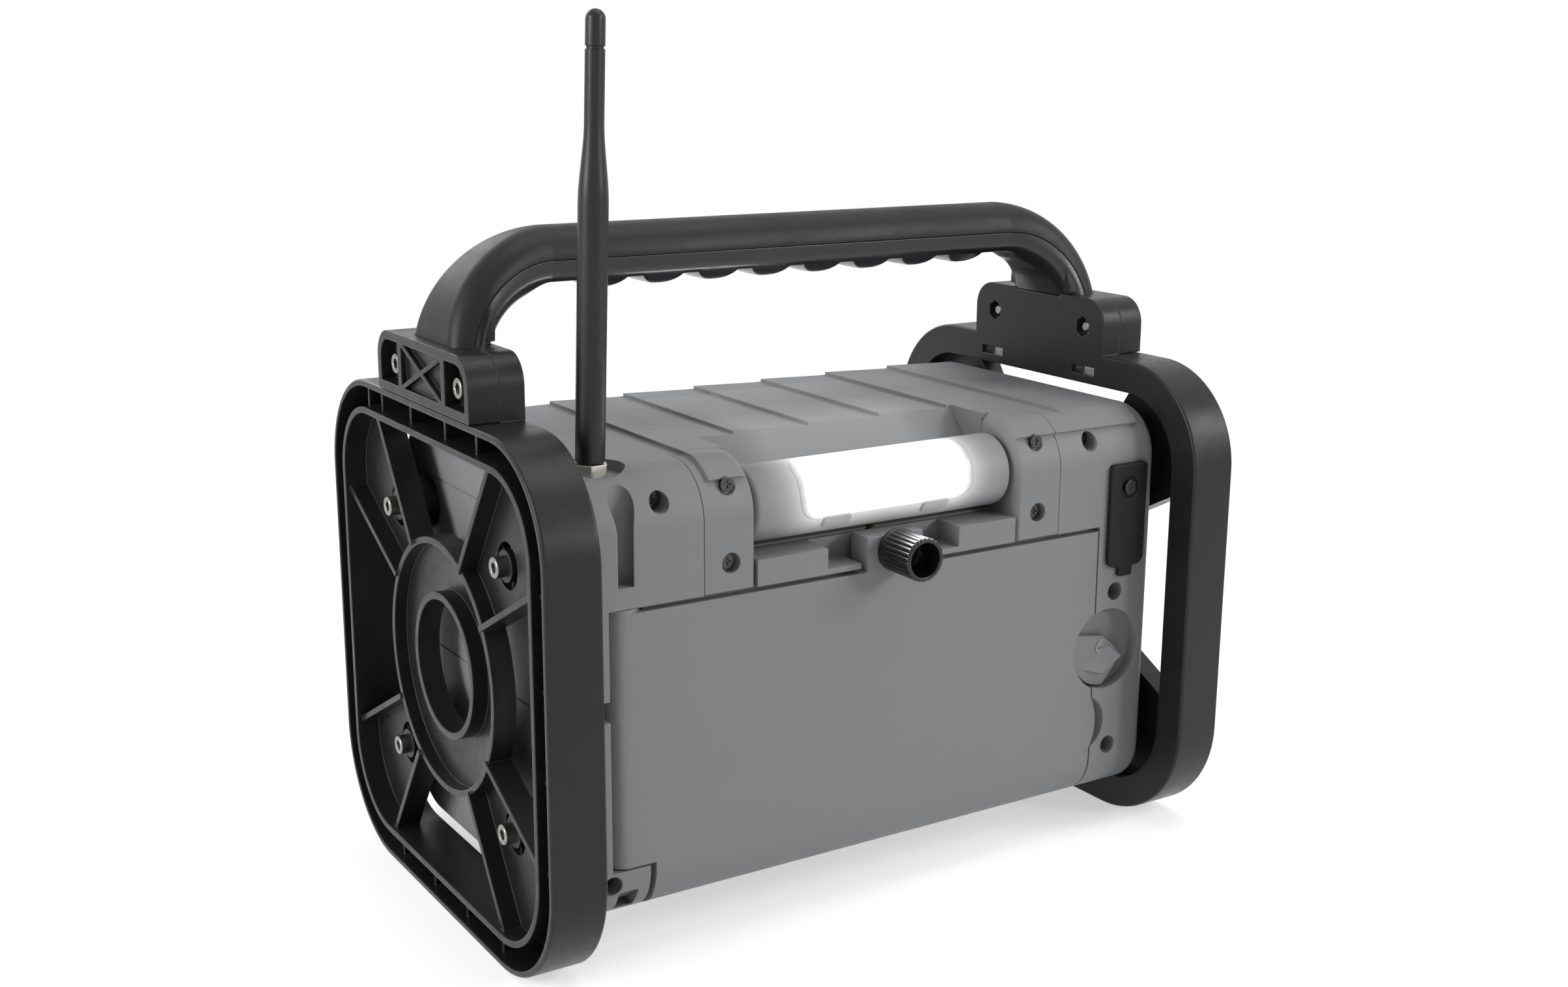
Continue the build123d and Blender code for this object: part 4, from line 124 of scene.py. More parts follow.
@dataclass(frozen=True)
class Finish:
    """One finish: the material's name, colours and surface, sizes in millimetres."""

    name: str
    process: Process
    colour: str
    roughness: float
    metallic: float = 0.0
    specular: float = 0.5
    coat: float = 0.0
    grain: float = 0.8          # size of the surface's grain
    relief: float = 0.02        # height of the grain
    cloud: float = 30.0         # size of the slow changes in tone
    tone: float = 0.06          # how far the tone changes, as a share
    uneven: float = 0.05        # how far the roughness changes
    edge: float = 0.5           # radius of the softened edges
    transmission: float = 0.0
    glow: float = 0.0
    wear_and_edge_highlight: float = 0.0           # how much lighter the edges are painted, as wear and as edge highlight, a share of white
    smudge: float = 0.05        # how far handling marks change the roughness
    lamp_and_painted_glow: float = 0.0           # strength of the lamp's light in the lens, and of the painted glow on the skin round it
    fall: float = 3.0           # length over which that light and the painted glow fade
    spill: float = 0.0          # how far above the lamp's aim the painted glow lands, in degrees

    def build(self) -> bpy.types.Material:
        """Make the material's nodes.

        Returns:
            The material, with its pattern on object coordinates.
        """
        material = bpy.data.materials.new(self.name)
        tree = fresh_tree(material)
        base = linear(self.colour)
        place = add_node(tree, "ShaderNodeTexCoord").outputs["Object"]
        clouds = add_node(tree, "ShaderNodeTexNoise", {"Scale": 1 / (self.cloud * MM), "Detail": 3.0},
                          {"Vector": place})
        dark = tuple(c * (1 - self.tone) for c in base[:3]) + (1.0,)
        light = tuple(min(1.0, c * (1 + self.tone)) for c in base[:3]) + (1.0,)
        tint = add_node(tree, "ShaderNodeMix", {"data_type": "RGBA", 6: dark, 7: light},
                        {0: clouds.outputs["Fac"]})
        soft = add_node(tree, "ShaderNodeBevel", {"Radius": self.edge * MM, "samples": 6})
        # paler edges: painted wear and painted edge highlight
        paint = self.wear_and_highlight_nodes(tree, place, tint.outputs[2], soft.outputs[0])
        rough = self.rough_nodes(tree, place, clouds.outputs["Fac"])
        shader = add_node(tree, "ShaderNodeBsdfPrincipled",
                          {"Metallic": self.metallic, "Specular IOR Level": self.specular,
                           "Coat Weight": self.coat, "Coat Roughness": COAT_ROUGHNESS,
                           "Transmission Weight": self.transmission},
                          {"Base Color": paint, "Roughness": rough})
        if self.glow:
            shader.inputs["Emission Color"].default_value = base
            shader.inputs["Emission Strength"].default_value = self.glow
        # the lens's own light, and the painted glow of lamp light on the tube and housing
        if self.lamp_and_painted_glow:
            self.lamp_and_painted_glow_nodes(tree, place, shader)
        self.relief_nodes(tree, place, shader, soft.outputs[0])
        add_node(tree, "ShaderNodeOutputMaterial", links={"Surface": shader.outputs[0]})
        return material

    def wear_and_highlight_nodes(self, tree: bpy.types.NodeTree, place: bpy.types.NodeSocket, paint: bpy.types.NodeSocket,
                   soft: bpy.types.NodeSocket) -> bpy.types.NodeSocket:
        """Lighten the edges, where the softened normal leaves the face's own: painted wear and painted edge
        highlight.

        Args:
            tree: the material's node tree.
            place: the object coordinates.
            paint: the colour so far.
            soft: the softened normal.

        Returns:
            The colour with its painted wear and highlight on the edges.
        """
        flat = add_node(tree, "ShaderNodeNewGeometry").outputs["True Normal"]
        same = add_node(tree, "ShaderNodeVectorMath", {"operation": "DOT_PRODUCT"}, {0: soft, 1: flat})
        edge = add_node(tree, "ShaderNodeMapRange", {"From Min": 0.995, "From Max": 0.82, "To Max": 1.0},
                        {"Value": same.outputs["Value"]})
        patch = add_node(tree, "ShaderNodeTexNoise",
                         {"Scale": 1 / (WEAR_AND_HIGHLIGHT_PATCH * MM), "Detail": 4.0, "Roughness": 0.65}, {"Vector": place})
        patchy = add_node(tree, "ShaderNodeMapRange", {"From Min": 0.34, "From Max": 0.66, "To Min": 0.35},
                        {"Value": patch.outputs["Fac"]})
        both = calc(tree, "MULTIPLY", edge.outputs["Result"], patchy.outputs["Result"])
        share = calc(tree, "MULTIPLY", both, self.wear_and_edge_highlight)
        return add_node(tree, "ShaderNodeMix", {"data_type": "RGBA", 7: WEAR_AND_HIGHLIGHT_COLOUR},
                        {0: share, 6: paint}).outputs[2]

    def rough_nodes(self, tree: bpy.types.NodeTree, place: bpy.types.NodeSocket,
                    clouds: bpy.types.NodeSocket) -> bpy.types.NodeSocket:
        """Vary the roughness slowly with the tone, and in small handling marks.

        Args:
            tree: the material's node tree.
            place: the object coordinates.
            clouds: the slow changes in tone.

        Returns:
            The roughness.
        """
        slow = add_node(tree, "ShaderNodeMapRange",
                        {"From Min": 0.3, "From Max": 0.7, "To Min": max(0.02, self.roughness - self.uneven),
                         "To Max": min(1.0, self.roughness + self.uneven)}, {"Value": clouds})
        marks = add_node(tree, "ShaderNodeTexNoise",
                         {"Scale": 1 / (MARK_SIZE * MM), "Detail": 5.0, "Roughness": 0.7}, {"Vector": place})
        rub = add_node(tree, "ShaderNodeMapRange", {"From Min": 0.5, "From Max": 0.72, "To Max": self.smudge},
                       {"Value": marks.outputs["Fac"]})
        return add_node(tree, "ShaderNodeMath", {"operation": "ADD", "use_clamp": True},
                        {0: slow.outputs["Result"], 1: rub.outputs["Result"]}).outputs[0]

    def lamp_and_painted_glow_nodes(self, tree: bpy.types.NodeTree, place: bpy.types.NodeSocket, shader: bpy.types.Node) -> None:
        """Add the lamp's light in the lens, and the painted glow round it on the tube's and housing's skin.

        The distance from the evenly lit middle is d = |(max(|x| - X, 0), max(|R a| - A, 0))|, with a the
        angle from the middle's own direction; the light falls as exp(-d / fall).

        Args:
            tree: the material's node tree.
            place: the object coordinates.
            shader: the node that takes the light.
        """
        lamp = TubeLamp()
        split = add_node(tree, "ShaderNodeSeparateXYZ", None, {0: place})
        up = calc(tree, "SUBTRACT", split.outputs["Z"], lamp.z * MM)
        ahead = calc(tree, "SUBTRACT", split.outputs["Y"], lamp.y * MM)
        aim = math.radians(lamp.aim - lamp.core_turn + self.spill)
        turn = calc(tree, "SUBTRACT", calc(tree, "ARCTAN2", up, ahead), aim)
        along = calc(tree, "ABSOLUTE", calc(tree, "MULTIPLY", turn, lamp.radius * MM))
        beside = calc(tree, "ABSOLUTE", split.outputs["X"])
        side = calc(tree, "MAXIMUM", calc(tree, "SUBTRACT", beside, lamp.core_half * MM))
        reach = math.radians(lamp.core_span) * lamp.radius * MM
        over = calc(tree, "MAXIMUM", calc(tree, "SUBTRACT", along, reach))
        squares = calc(tree, "ADD", calc(tree, "MULTIPLY", side, side), calc(tree, "MULTIPLY", over, over))
        far = calc(tree, "SQRT", squares)
        fall = calc(tree, "EXPONENT", calc(tree, "MULTIPLY", far, -1 / (self.fall * MM)))
        shader.inputs["Emission Color"].default_value = WHITE
        tree.links.new(calc(tree, "MULTIPLY", fall, self.lamp_and_painted_glow), shader.inputs["Emission Strength"])

    def relief_nodes(self, tree: bpy.types.NodeTree, place: bpy.types.NodeSocket, shader: bpy.types.Node,
                     soft: bpy.types.NodeSocket) -> None:
        """Add the grain's bump over softened edges.

        Args:
            tree: the material's node tree.
            place: the object coordinates.
            shader: the node that takes the normal.
            soft: the softened normal.
        """
        stretch = (1.0, 1.0, 0.08) if self.process is Process.BRUSHED else (1.0, 1.0, 1.0)
        spread = add_node(tree, "ShaderNodeMapping", {"Scale": stretch}, {"Vector": place})
        grain = add_node(tree, "ShaderNodeTexNoise", {"Scale": 1 / (self.grain * MM), "Detail": 2.0,
                                                      "Roughness": 0.6}, {"Vector": spread.outputs[0]})
        bump = add_node(tree, "ShaderNodeBump", {"Strength": 1.0, "Distance": self.relief * MM},
                        {"Height": grain.outputs["Fac"], "Normal": soft})
        tree.links.new(bump.outputs[0], shader.inputs["Normal"])


# Finishes, each named for its material and how its surface was made.
# Fine even tooth: a soft grey with no clear reflection, and paler edges painted as wear and as edge highlight.
GREY_ABS = Finish("grey_abs_spark_eroded", Process.SPARKED, "#848587", 0.52, specular=0.35, grain=0.7,
                  relief=0.03, cloud=26.0, tone=0.03, edge=0.7, wear_and_edge_highlight=0.10)
# The same, with a painted glow of lamp light round the lamp; the painted glow stays when the lamp tilts.
RECESS_ABS_PAINTED_GLOW = replace(GREY_ABS, name="grey_abs_spark_eroded_painted_lamp_glow", lamp_and_painted_glow=0.32, fall=6.0, spill=45.0)
# The same on the tube, with a painted glow strongest beside the lens.
LAMP_ABS_PAINTED_GLOW = replace(GREY_ABS, name="grey_abs_spark_eroded_painted_glow", roughness=0.50, edge=0.3, wear_and_edge_highlight=0.0, lamp_and_painted_glow=2.0,
                   fall=6.5)
# Milky plastic, paler than the housing.
LENS_TAB = Finish("polycarbonate_diffusing", Process.POLISHED, "#c4c5c6", 0.35, cloud=6.0, tone=0.04, edge=0.3)
# Soft black with broad dull highlights and grey edges painted as wear and as edge highlight.
BLACK_PP = Finish("black_polypropylene_satin_moulded", Process.MOULDED, "#1c1c1d", 0.35, specular=0.28,
                  grain=0.9, relief=0.025, cloud=22.0, tone=0.12, uneven=0.05, edge=0.8, wear_and_edge_highlight=0.09, smudge=0.12)
# Dull black beside the glossier grip.
HANDLE_PP = Finish("black_polypropylene_fine_matt", Process.SPARKED, "#191a1a", 0.44, specular=0.26, grain=0.6,
                   relief=0.03, cloud=30.0, tone=0.08, edge=0.4, wear_and_edge_highlight=0.04, smudge=0.08)
# Near-mirror black with tight highlights.
GRIP_PP = Finish("black_polypropylene_polished", Process.POLISHED, "#18181c", 0.22, specular=0.45, coat=0.15,
                 grain=1.2, relief=0.02, cloud=18.0, tone=0.05, edge=0.3)
# Warm pale metal with soft reflections.
NICKEL = Finish("steel_nickel_plated_satin", Process.PLATED, "#8f8d88", 0.30, metallic=1.0, grain=1.0,
                relief=0.008, cloud=4.0, tone=0.08, edge=0.3, smudge=0.1)
# Metal darkened as painted shade of the deep screw holes; its edges lighter, painted as driver wear and as edge
# highlight.
DARK_STEEL = Finish("steel_darkened_painted_hole_shade", Process.PLATED, "#4c4b49", 0.3, metallic=1.0, grain=1.0,
                    relief=0.008, cloud=3.0, tone=0.15, edge=0.25, wear_and_edge_highlight=0.3)
# The palest metal, with turned lines.
PALE_NICKEL = Finish("brass_nickel_plated_turned", Process.BRUSHED, "#d2cfc6", 0.42, metallic=1.0, grain=0.5,
                     relief=0.006, cloud=4.0, tone=0.06, edge=0.4)
# Cool grey metal with fine lines.
ZINC = Finish("steel_zinc_plated", Process.BRUSHED, "#b5b6b6", 0.30, metallic=1.0, grain=0.3, relief=0.01,
              cloud=5.0, tone=0.08, edge=0.2)
# Dull yellow metal.
BRASS = Finish("brass_turned", Process.BRUSHED, "#7d6f4d", 0.40, metallic=1.0, grain=0.3, relief=0.01,
               cloud=5.0, tone=0.08, edge=0.2)
# Black with one soft streak along it.
WHIP_RUBBER = Finish("tpe_sleeve_satin_moulded", Process.MOULDED, "#1a1a1b", 0.38, specular=0.34, grain=0.5,
                     relief=0.015, cloud=25.0, tone=0.08, edge=0.3)
# Flat black with hardly a highlight.
SEAL_RUBBER = Finish("black_rubber_matt_moulded", Process.MOULDED, "#171718", 0.55, specular=0.25, grain=0.5,
                     relief=0.02, cloud=14.0, tone=0.08, edge=0.4)
# Deep black with sharp highlights along its ribs.
KNOB_GLOSS = Finish("black_abs_polished", Process.POLISHED, "#161619", 0.20, specular=0.36, coat=0.15,
                    grain=1.5, relief=0.01, cloud=10.0, tone=0.05, edge=0.2)
# A bright even white that falls off towards its rim.
LENS = Finish("polycarbonate_diffusing_lit", Process.POLISHED, "#a9abae", 0.3, grain=2.0, relief=0.01,
              cloud=20.0, tone=0.01, edge=0.3, lamp_and_painted_glow=26.0, fall=2.1)
# Small warm bright points.
LAMP_LIGHT = Finish("diodes_lit", Process.POLISHED, "#fffdf4", 0.4, cloud=10.0, tone=0.01, edge=0.1, glow=6.0)
# Mirror-bright.
REFLECTOR = Finish("abs_vacuum_plated", Process.PLATED, "#e2e2e4", 0.12, metallic=1.0, cloud=10.0, tone=0.02,
                   edge=0.2)
# Plain black, a little dusty.
TRAY_PP = Finish("black_polypropylene_plain", Process.MOULDED, "#232324", 0.5, specular=0.4)
# Shiny dark blue-grey film.
CELL_JACKET = Finish("pvc_sleeve_plain", Process.POLISHED, "#2c2f36", 0.3, coat=0.3, tone=0.04)
# Glossy dark green.
BOARD_GREEN = Finish("fibreglass_solder_resist", Process.POLISHED, "#12603a", 0.35, cloud=6.0, tone=0.12)
# Even black with a slight sparkle.
GRILLE = Finish("steel_powder_coated", Process.SPARKED, "#202021", 0.5, grain=0.5, relief=0.03, edge=0.4)
# Dull fibrous black.
CONE_PAPER = Finish("coated_paper_pressed", Process.PAPER, "#242425", 0.8, specular=0.2, grain=0.4, relief=0.06)
# Dull grey, stone-like.
FERRITE = Finish("ferrite_bare_ground", Process.SPARKED, "#2f2f31", 0.7, metallic=0.2, grain=0.4, relief=0.03)
# Satin black.
PANEL_ABS = Finish("black_abs_satin_moulded", Process.MOULDED, "#1c1c1e", 0.42, specular=0.45, edge=0.5)
# Clear, with one clean reflection.
WINDOW = Finish("acrylic_clear_cast", Process.POLISHED, "#dfe6e6", 0.05, transmission=1.0, grain=3.0,
                relief=0.001, cloud=30.0, tone=0.01, uneven=0.01, edge=0.3)
# Flat grey-green.
DISPLAY = Finish("liquid_crystal_unlit", Process.POLISHED, "#6f7a68", 0.25, specular=0.5, tone=0.02, edge=0.2)
# Soft dark grey, no shine.
KEY_RUBBER = Finish("grey_silicone_matt", Process.MOULDED, "#3b3c3e", 0.6, specular=0.3, edge=0.5)

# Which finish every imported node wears.
NODE_FINISH: dict[str, Finish] = {
    "rear_housing": RECESS_ABS_PAINTED_GLOW, "front_housing": GREY_ABS, "lamp_cheek_right": GREY_ABS,
    "lamp_cheek_left": GREY_ABS, "battery_door": GREY_ABS, "latch_plate": GREY_ABS, "lamp_tube": GREY_ABS,
    "guard_right": BLACK_PP, "guard_left": BLACK_PP, "clamp_cover_right": BLACK_PP, "clamp_cover_left": BLACK_PP,
    "handle_shell": HANDLE_PP, "handle_grip": GRIP_PP,
    # The screws deep in holes wear steel darkened as painted shade of their holes.
    "cheek_screws": DARK_STEEL, "housing_screws": DARK_STEEL, "guard_screws": NICKEL, "clamp_screws": NICKEL,
    "clamp_nuts": PALE_NICKEL, "cover_screw": DARK_STEEL, "door_pins": ZINC, "retaining_ring": ZINC,
    "latch_pivot": NICKEL,
    "antenna_whip": WHIP_RUBBER, "antenna_nut": PALE_NICKEL, "antenna_stud": ZINC,
    "lamp_lens": LENS, "lamp_board": LAMP_LIGHT, "lamp_reflector": REFLECTOR, "door_seal": SEAL_RUBBER,
    "thumbscrew_knob": KNOB_GLOSS, "thumbscrew_shank": ZINC, "threaded_insert": BRASS,
    "socket_cover": SEAL_RUBBER, "socket_panel": KNOB_GLOSS, "sockets": ZINC, "battery_tray": TRAY_PP,
    "battery_cells": CELL_JACKET, "battery_contacts": ZINC, "main_board": BOARD_GREEN, "key_board": BOARD_GREEN,
    "speaker_grille_right": GRILLE, "speaker_grille_left": GRILLE, "speaker_frames": ZINC,
    "speaker_cones": CONE_PAPER, "speaker_magnets": FERRITE, "control_panel": PANEL_ABS,
    "display_window": WINDOW, "display_module": DISPLAY, "control_encoder": ZINC, "tuning_dial": KNOB_GLOSS,
    "volume_knob": KNOB_GLOSS,
}
NODE_FINISH.update({f"key_{number}": KEY_RUBBER for number in range(1, 7)})


class Wardrobe:
    """Builds each finish once and hands it to the pieces that wear it."""

    def __init__(self) -> None:
        """Start with no finish built."""
        self.built: dict[str, bpy.types.Material] = {}

    def of(self, finish: Finish) -> bpy.types.Material:
        """Return the finish's material, made at its first use."""
        if finish.name not in self.built:
            self.built[finish.name] = finish.build()
        return self.built[finish.name]

    def dress(self, piece: bpy.types.Object, finish: Finish) -> None:
        """Give a piece one finish in place of what it had."""
        piece.data.materials.clear()
        piece.data.materials.append(self.of(finish))


# ------------------------------------------------------------------ studio
@dataclass
class Viewpoint:
    """The camera's place and lens, solved for the object's frame in millimetres and degrees."""

    place: tuple[float, float, float] = (434.0, 684.1, 357.65)
    azimuth: float = 147.54
    elevation: float = 13.70
    roll: float = 0.334
    focal: float = 2823.84 / 2408.0      # in frame widths
    sensor: float = 36.0
    clip: tuple[float, float] = (0.01, 60.0)

    def build(self) -> None:
        """Make the camera and set it as the scene's own."""
        data = bpy.data.cameras.new("view")
        data.sensor_width = self.sensor
        data.lens = self.focal * data.sensor_width
        data.clip_start, data.clip_end = self.clip
        camera = bpy.data.objects.new("view", data)
        turn, rise = math.radians(self.azimuth), math.radians(self.elevation)
        back = Vector((math.sin(turn) * math.cos(rise), -math.cos(turn) * math.cos(rise), math.sin(rise)))
        look = (-back).to_track_quat("-Z", "Y").to_matrix().to_4x4()
        tilt = Matrix.Rotation(math.radians(self.roll), 4, "Z")
        camera.matrix_world = Matrix.Translation(Vector(self.place) * MM) @ look @ tilt
        enter(camera)
        bpy.context.scene.camera = camera


@dataclass
class Lamp:
    """One soft area lamp; its place, aim and size in metres, power in watts."""

    name: str
    place: tuple[float, float, float]
    size: float
    power: float
    aim: tuple[float, float, float] = (0.0, 0.0, 0.12)

    def build(self) -> None:
        """Make the lamp, unseen by the camera."""
        data = bpy.data.lights.new(self.name, "AREA")
        data.shape, data.size, data.energy = "DISK", self.size, self.power
        lamp = bpy.data.objects.new(self.name, data)
        lamp.location = self.place
        lamp.rotation_euler = (Vector(self.aim) - lamp.location).to_track_quat("-Z", "Y").to_euler()
        lamp.visible_camera = False
        enter(lamp)


@dataclass
class Studio:
    """A pale floor, a soft surround and the large lamps round the object."""

    surround: float = 0.31      # strength of the grey surround
    floor_side: float = 30.0    # half the floor's side, in metres
    fade_from: float = 0.42     # where the floor starts to whiten, from the middle
    fade_to: float = 1.1        # where it is white
    paper: str = "#f2f2f2"
    lift: float = 0.5           # how far the paper is lifted towards white

    lamps = (
        Lamp("top_lamp", (-0.45, 0.2, 1.9), 1.1, 6.5),
        Lamp("rear_lamp", (-1.6, 1.35, 1.3), 0.8, 12.5),
        Lamp("streak_lamp", (-1.04, 1.62, 0.72), 0.30, 8.0),
        Lamp("side_lamp", (1.9, 0.0, 0.8), 1.0, 24.0),
        Lamp("front_lamp", (0.2, -1.8, 1.1), 1.2, 8.0),
    )

    def build(self) -> None:
        """Make the floor, surround and lamps."""
        scene = bpy.context.scene
        scene.view_settings.view_transform = "Standard"
        self.world(scene)
        self.floor()
        for lamp in self.lamps:
            lamp.build()

    def seen(self, tree: bpy.types.NodeTree) -> bpy.types.NodeSocket:
        """Add a mask of the rays that show the backdrop: camera, glossy and transmission rays."""
        path = add_node(tree, "ShaderNodeLightPath")
        both = calc(tree, "MAXIMUM", path.outputs["Is Camera Ray"], path.outputs["Is Glossy Ray"])
        return calc(tree, "MAXIMUM", both, path.outputs["Is Transmission Ray"])

    def world(self, scene: bpy.types.Scene) -> None:
        """Make the world: white to the rays that show it, pale grey to the rest."""
        world = bpy.data.worlds.new("surround")
        tree = fresh_tree(world)
        soft = add_node(tree, "ShaderNodeBackground", {"Color": WHITE, "Strength": self.surround})
        white = add_node(tree, "ShaderNodeBackground", {"Color": WHITE, "Strength": 1.0})
        mix = add_node(tree, "ShaderNodeMixShader", None,
                       {0: self.seen(tree), 1: soft.outputs[0], 2: white.outputs[0]})
        add_node(tree, "ShaderNodeOutputWorld", links={"Surface": mix.outputs[0]})
        scene.world = world

    def floor(self) -> None:
        """Make the floor: pale paper lifted to white, that keeps the shadow near the object."""
        side = self.floor_side
        corners = np.array([(-side, -side, 0), (side, -side, 0), (side, side, 0), (-side, side, 0)])
        mesh = bpy.data.meshes.new("floor")
        mesh.from_pydata(corners.tolist(), [], [(0, 1, 2, 3)])
        floor = bpy.data.objects.new("floor", mesh)
        enter(floor)
        material = bpy.data.materials.new("floor_paper_pale")
        tree = fresh_tree(material)
        place = add_node(tree, "ShaderNodeTexCoord").outputs["Object"]
        far = add_node(tree, "ShaderNodeVectorMath", {"operation": "LENGTH"}, {0: place})
        fade = add_node(tree, "ShaderNodeMapRange", {"From Min": self.fade_from, "From Max": self.fade_to},
                        {"Value": far.outputs["Value"]})
        paper = add_node(tree, "ShaderNodeBsdfDiffuse", {"Color": linear(self.paper)})
        lift = add_node(tree, "ShaderNodeEmission", {"Color": WHITE, "Strength": self.lift})
        white = add_node(tree, "ShaderNodeEmission", {"Color": WHITE, "Strength": 1.0})
        both = add_node(tree, "ShaderNodeAddShader", None, {0: paper.outputs[0], 1: lift.outputs[0]})
        shown = add_node(tree, "ShaderNodeMixShader", None,
                         {0: fade.outputs["Result"], 1: both.outputs[0], 2: white.outputs[0]})
        mix = add_node(tree, "ShaderNodeMixShader", None, {0: self.seen(tree), 1: paper.outputs[0],
                                                           2: shown.outputs[0]})
        add_node(tree, "ShaderNodeOutputMaterial", links={"Surface": mix.outputs[0]})
        mesh.materials.append(material)


# ------------------------------------------------------------------ surfaces
@dataclass
class Form:
    """One closed piece made of grids of points, all in millimetres."""

    name: str
    points: list[np.ndarray] = field(default_factory=list)
    faces: list[list[int]] = field(default_factory=list)

    def add(self, grid: np.ndarray) -> None:
        """Add a grid whose columns run round and whose rows run along, and close both of its ends.

        Corner (i, j) joins (i, j+1), (i+1, j+1) and (i+1, j), with the column index taken modulo the
        number of columns. Each end row is closed by a fan round its mean point.

        Args:
            grid: points as rows by columns by 3.
        """
        rows, columns = grid.shape[:2]
        start = sum(len(block) for block in self.points)
        i, j = np.meshgrid(np.arange(rows - 1), np.arange(columns), indexing="ij")
        k = (j + 1) % columns
        quads = np.stack([i * columns + j, i * columns + k, (i + 1) * columns + k, (i + 1) * columns + j], -1)
        self.faces += (quads.reshape(-1, 4) + start).tolist()
        ring = np.arange(columns)
        after = (ring + 1) % columns
        first, last = rows * columns, rows * columns + 1
        low = np.stack([after, ring, np.full(columns, first)], -1)
        high = np.stack([ring, after, np.full(columns, last - columns * (rows - 1))], -1) + columns * (rows - 1)
        self.faces += (low + start).tolist() + (high + start).tolist()
        self.points += [grid.reshape(-1, 3), grid[:1].mean(1), grid[-1:].mean(1)]

    def build(self, finish: Finish, wardrobe: "Wardrobe", body: str, slot: str, nodes: tuple[str, ...] = (),
              crease: float = 32.0) -> None:
        """Make the mesh object, dress it, and let it ride and stand for its nodes.

        Args:
            finish: what it wears.
            wardrobe: where the finish is built.
            body: the CAD body that it rides on.
            slot: the record's material slot; not used.
            nodes: the CAD nodes that it stands for.
            crease: the angle past which an edge stays sharp, in degrees.
        """
        mesh = bpy.data.meshes.new(self.name)
        mesh.from_pydata((np.concatenate(self.points) * MM).tolist(), [], self.faces)
        work = bmesh.new()
        work.from_mesh(mesh)
        bmesh.ops.remove_doubles(work, verts=work.verts, dist=1e-6)
        bmesh.ops.dissolve_degenerate(work, edges=work.edges, dist=1e-6)
        bmesh.ops.recalc_face_normals(work, faces=work.faces)
        work.to_mesh(mesh)
        work.free()
        mesh.polygons.foreach_set("use_smooth", np.ones(len(mesh.polygons), dtype=bool))
        mesh.set_sharp_from_angle(angle=math.radians(crease))
        piece = bpy.data.objects.new(self.name, mesh)
        enter(piece)
        wardrobe.dress(piece, finish)
        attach(piece, body)
        if nodes:
            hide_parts(*nodes)
        LOG.info("%s: %d faces", self.name, len(mesh.polygons))


def turned(profile: np.ndarray, columns: int) -> np.ndarray:
    """Carry a profile round an axis: (r, h) gives (r cos t, r sin t, h).

    Args:
        profile: radius and height, one row per point.
        columns: how many steps make the full turn.

    Returns:
        The grid, along +Z.
    """
    t = np.linspace(0, 2 * np.pi, columns, endpoint=False)
    r, h = profile[:, :1], profile[:, 1:]
    return np.stack([r * np.cos(t), r * np.sin(t), h + 0 * t], -1)


def arc(centre: tuple[float, float], radius: float, start: float, end: float, steps: int = 6) -> np.ndarray:
    """Points on a circular arc: centre + radius (cos a, sin a), with a from start to end in degrees."""
    a = np.radians(np.linspace(start, end, steps + 1))
    return np.stack([centre[0] + radius * np.cos(a), centre[1] + radius * np.sin(a)], -1)


def rounded(half_x: float, half_y: float, radius: float, steps: int = 8) -> np.ndarray:
    """Points round a rounded rectangle, one quarter circle at each corner."""
    x, y = half_x - radius, half_y - radius
    spots = ((x, y), (-x, y), (-x, -y), (x, -y))
    return np.concatenate([arc(spot, radius, 90 * k, 90 * k + 90, steps) for k, spot in enumerate(spots)])


def even(ring: np.ndarray, count: int) -> np.ndarray:
    """Space a closed ring's points evenly along its length, by linear interpolation over arc length."""
    closed = np.concatenate([ring, ring[:1]])
    along = np.concatenate([[0.0], np.cumsum(np.linalg.norm(np.diff(closed, axis=0), axis=1))])
    at = np.linspace(0, along[-1], count, endpoint=False)
    return np.stack([np.interp(at, along, closed[:, k]) for k in range(closed.shape[1])], -1)


def ease(x: np.ndarray) -> np.ndarray:
    """Smooth step 3x^2 - 2x^3, held at 0 and 1 outside that range."""
    x = np.clip(x, 0, 1)
    return x * x * (3 - 2 * x)


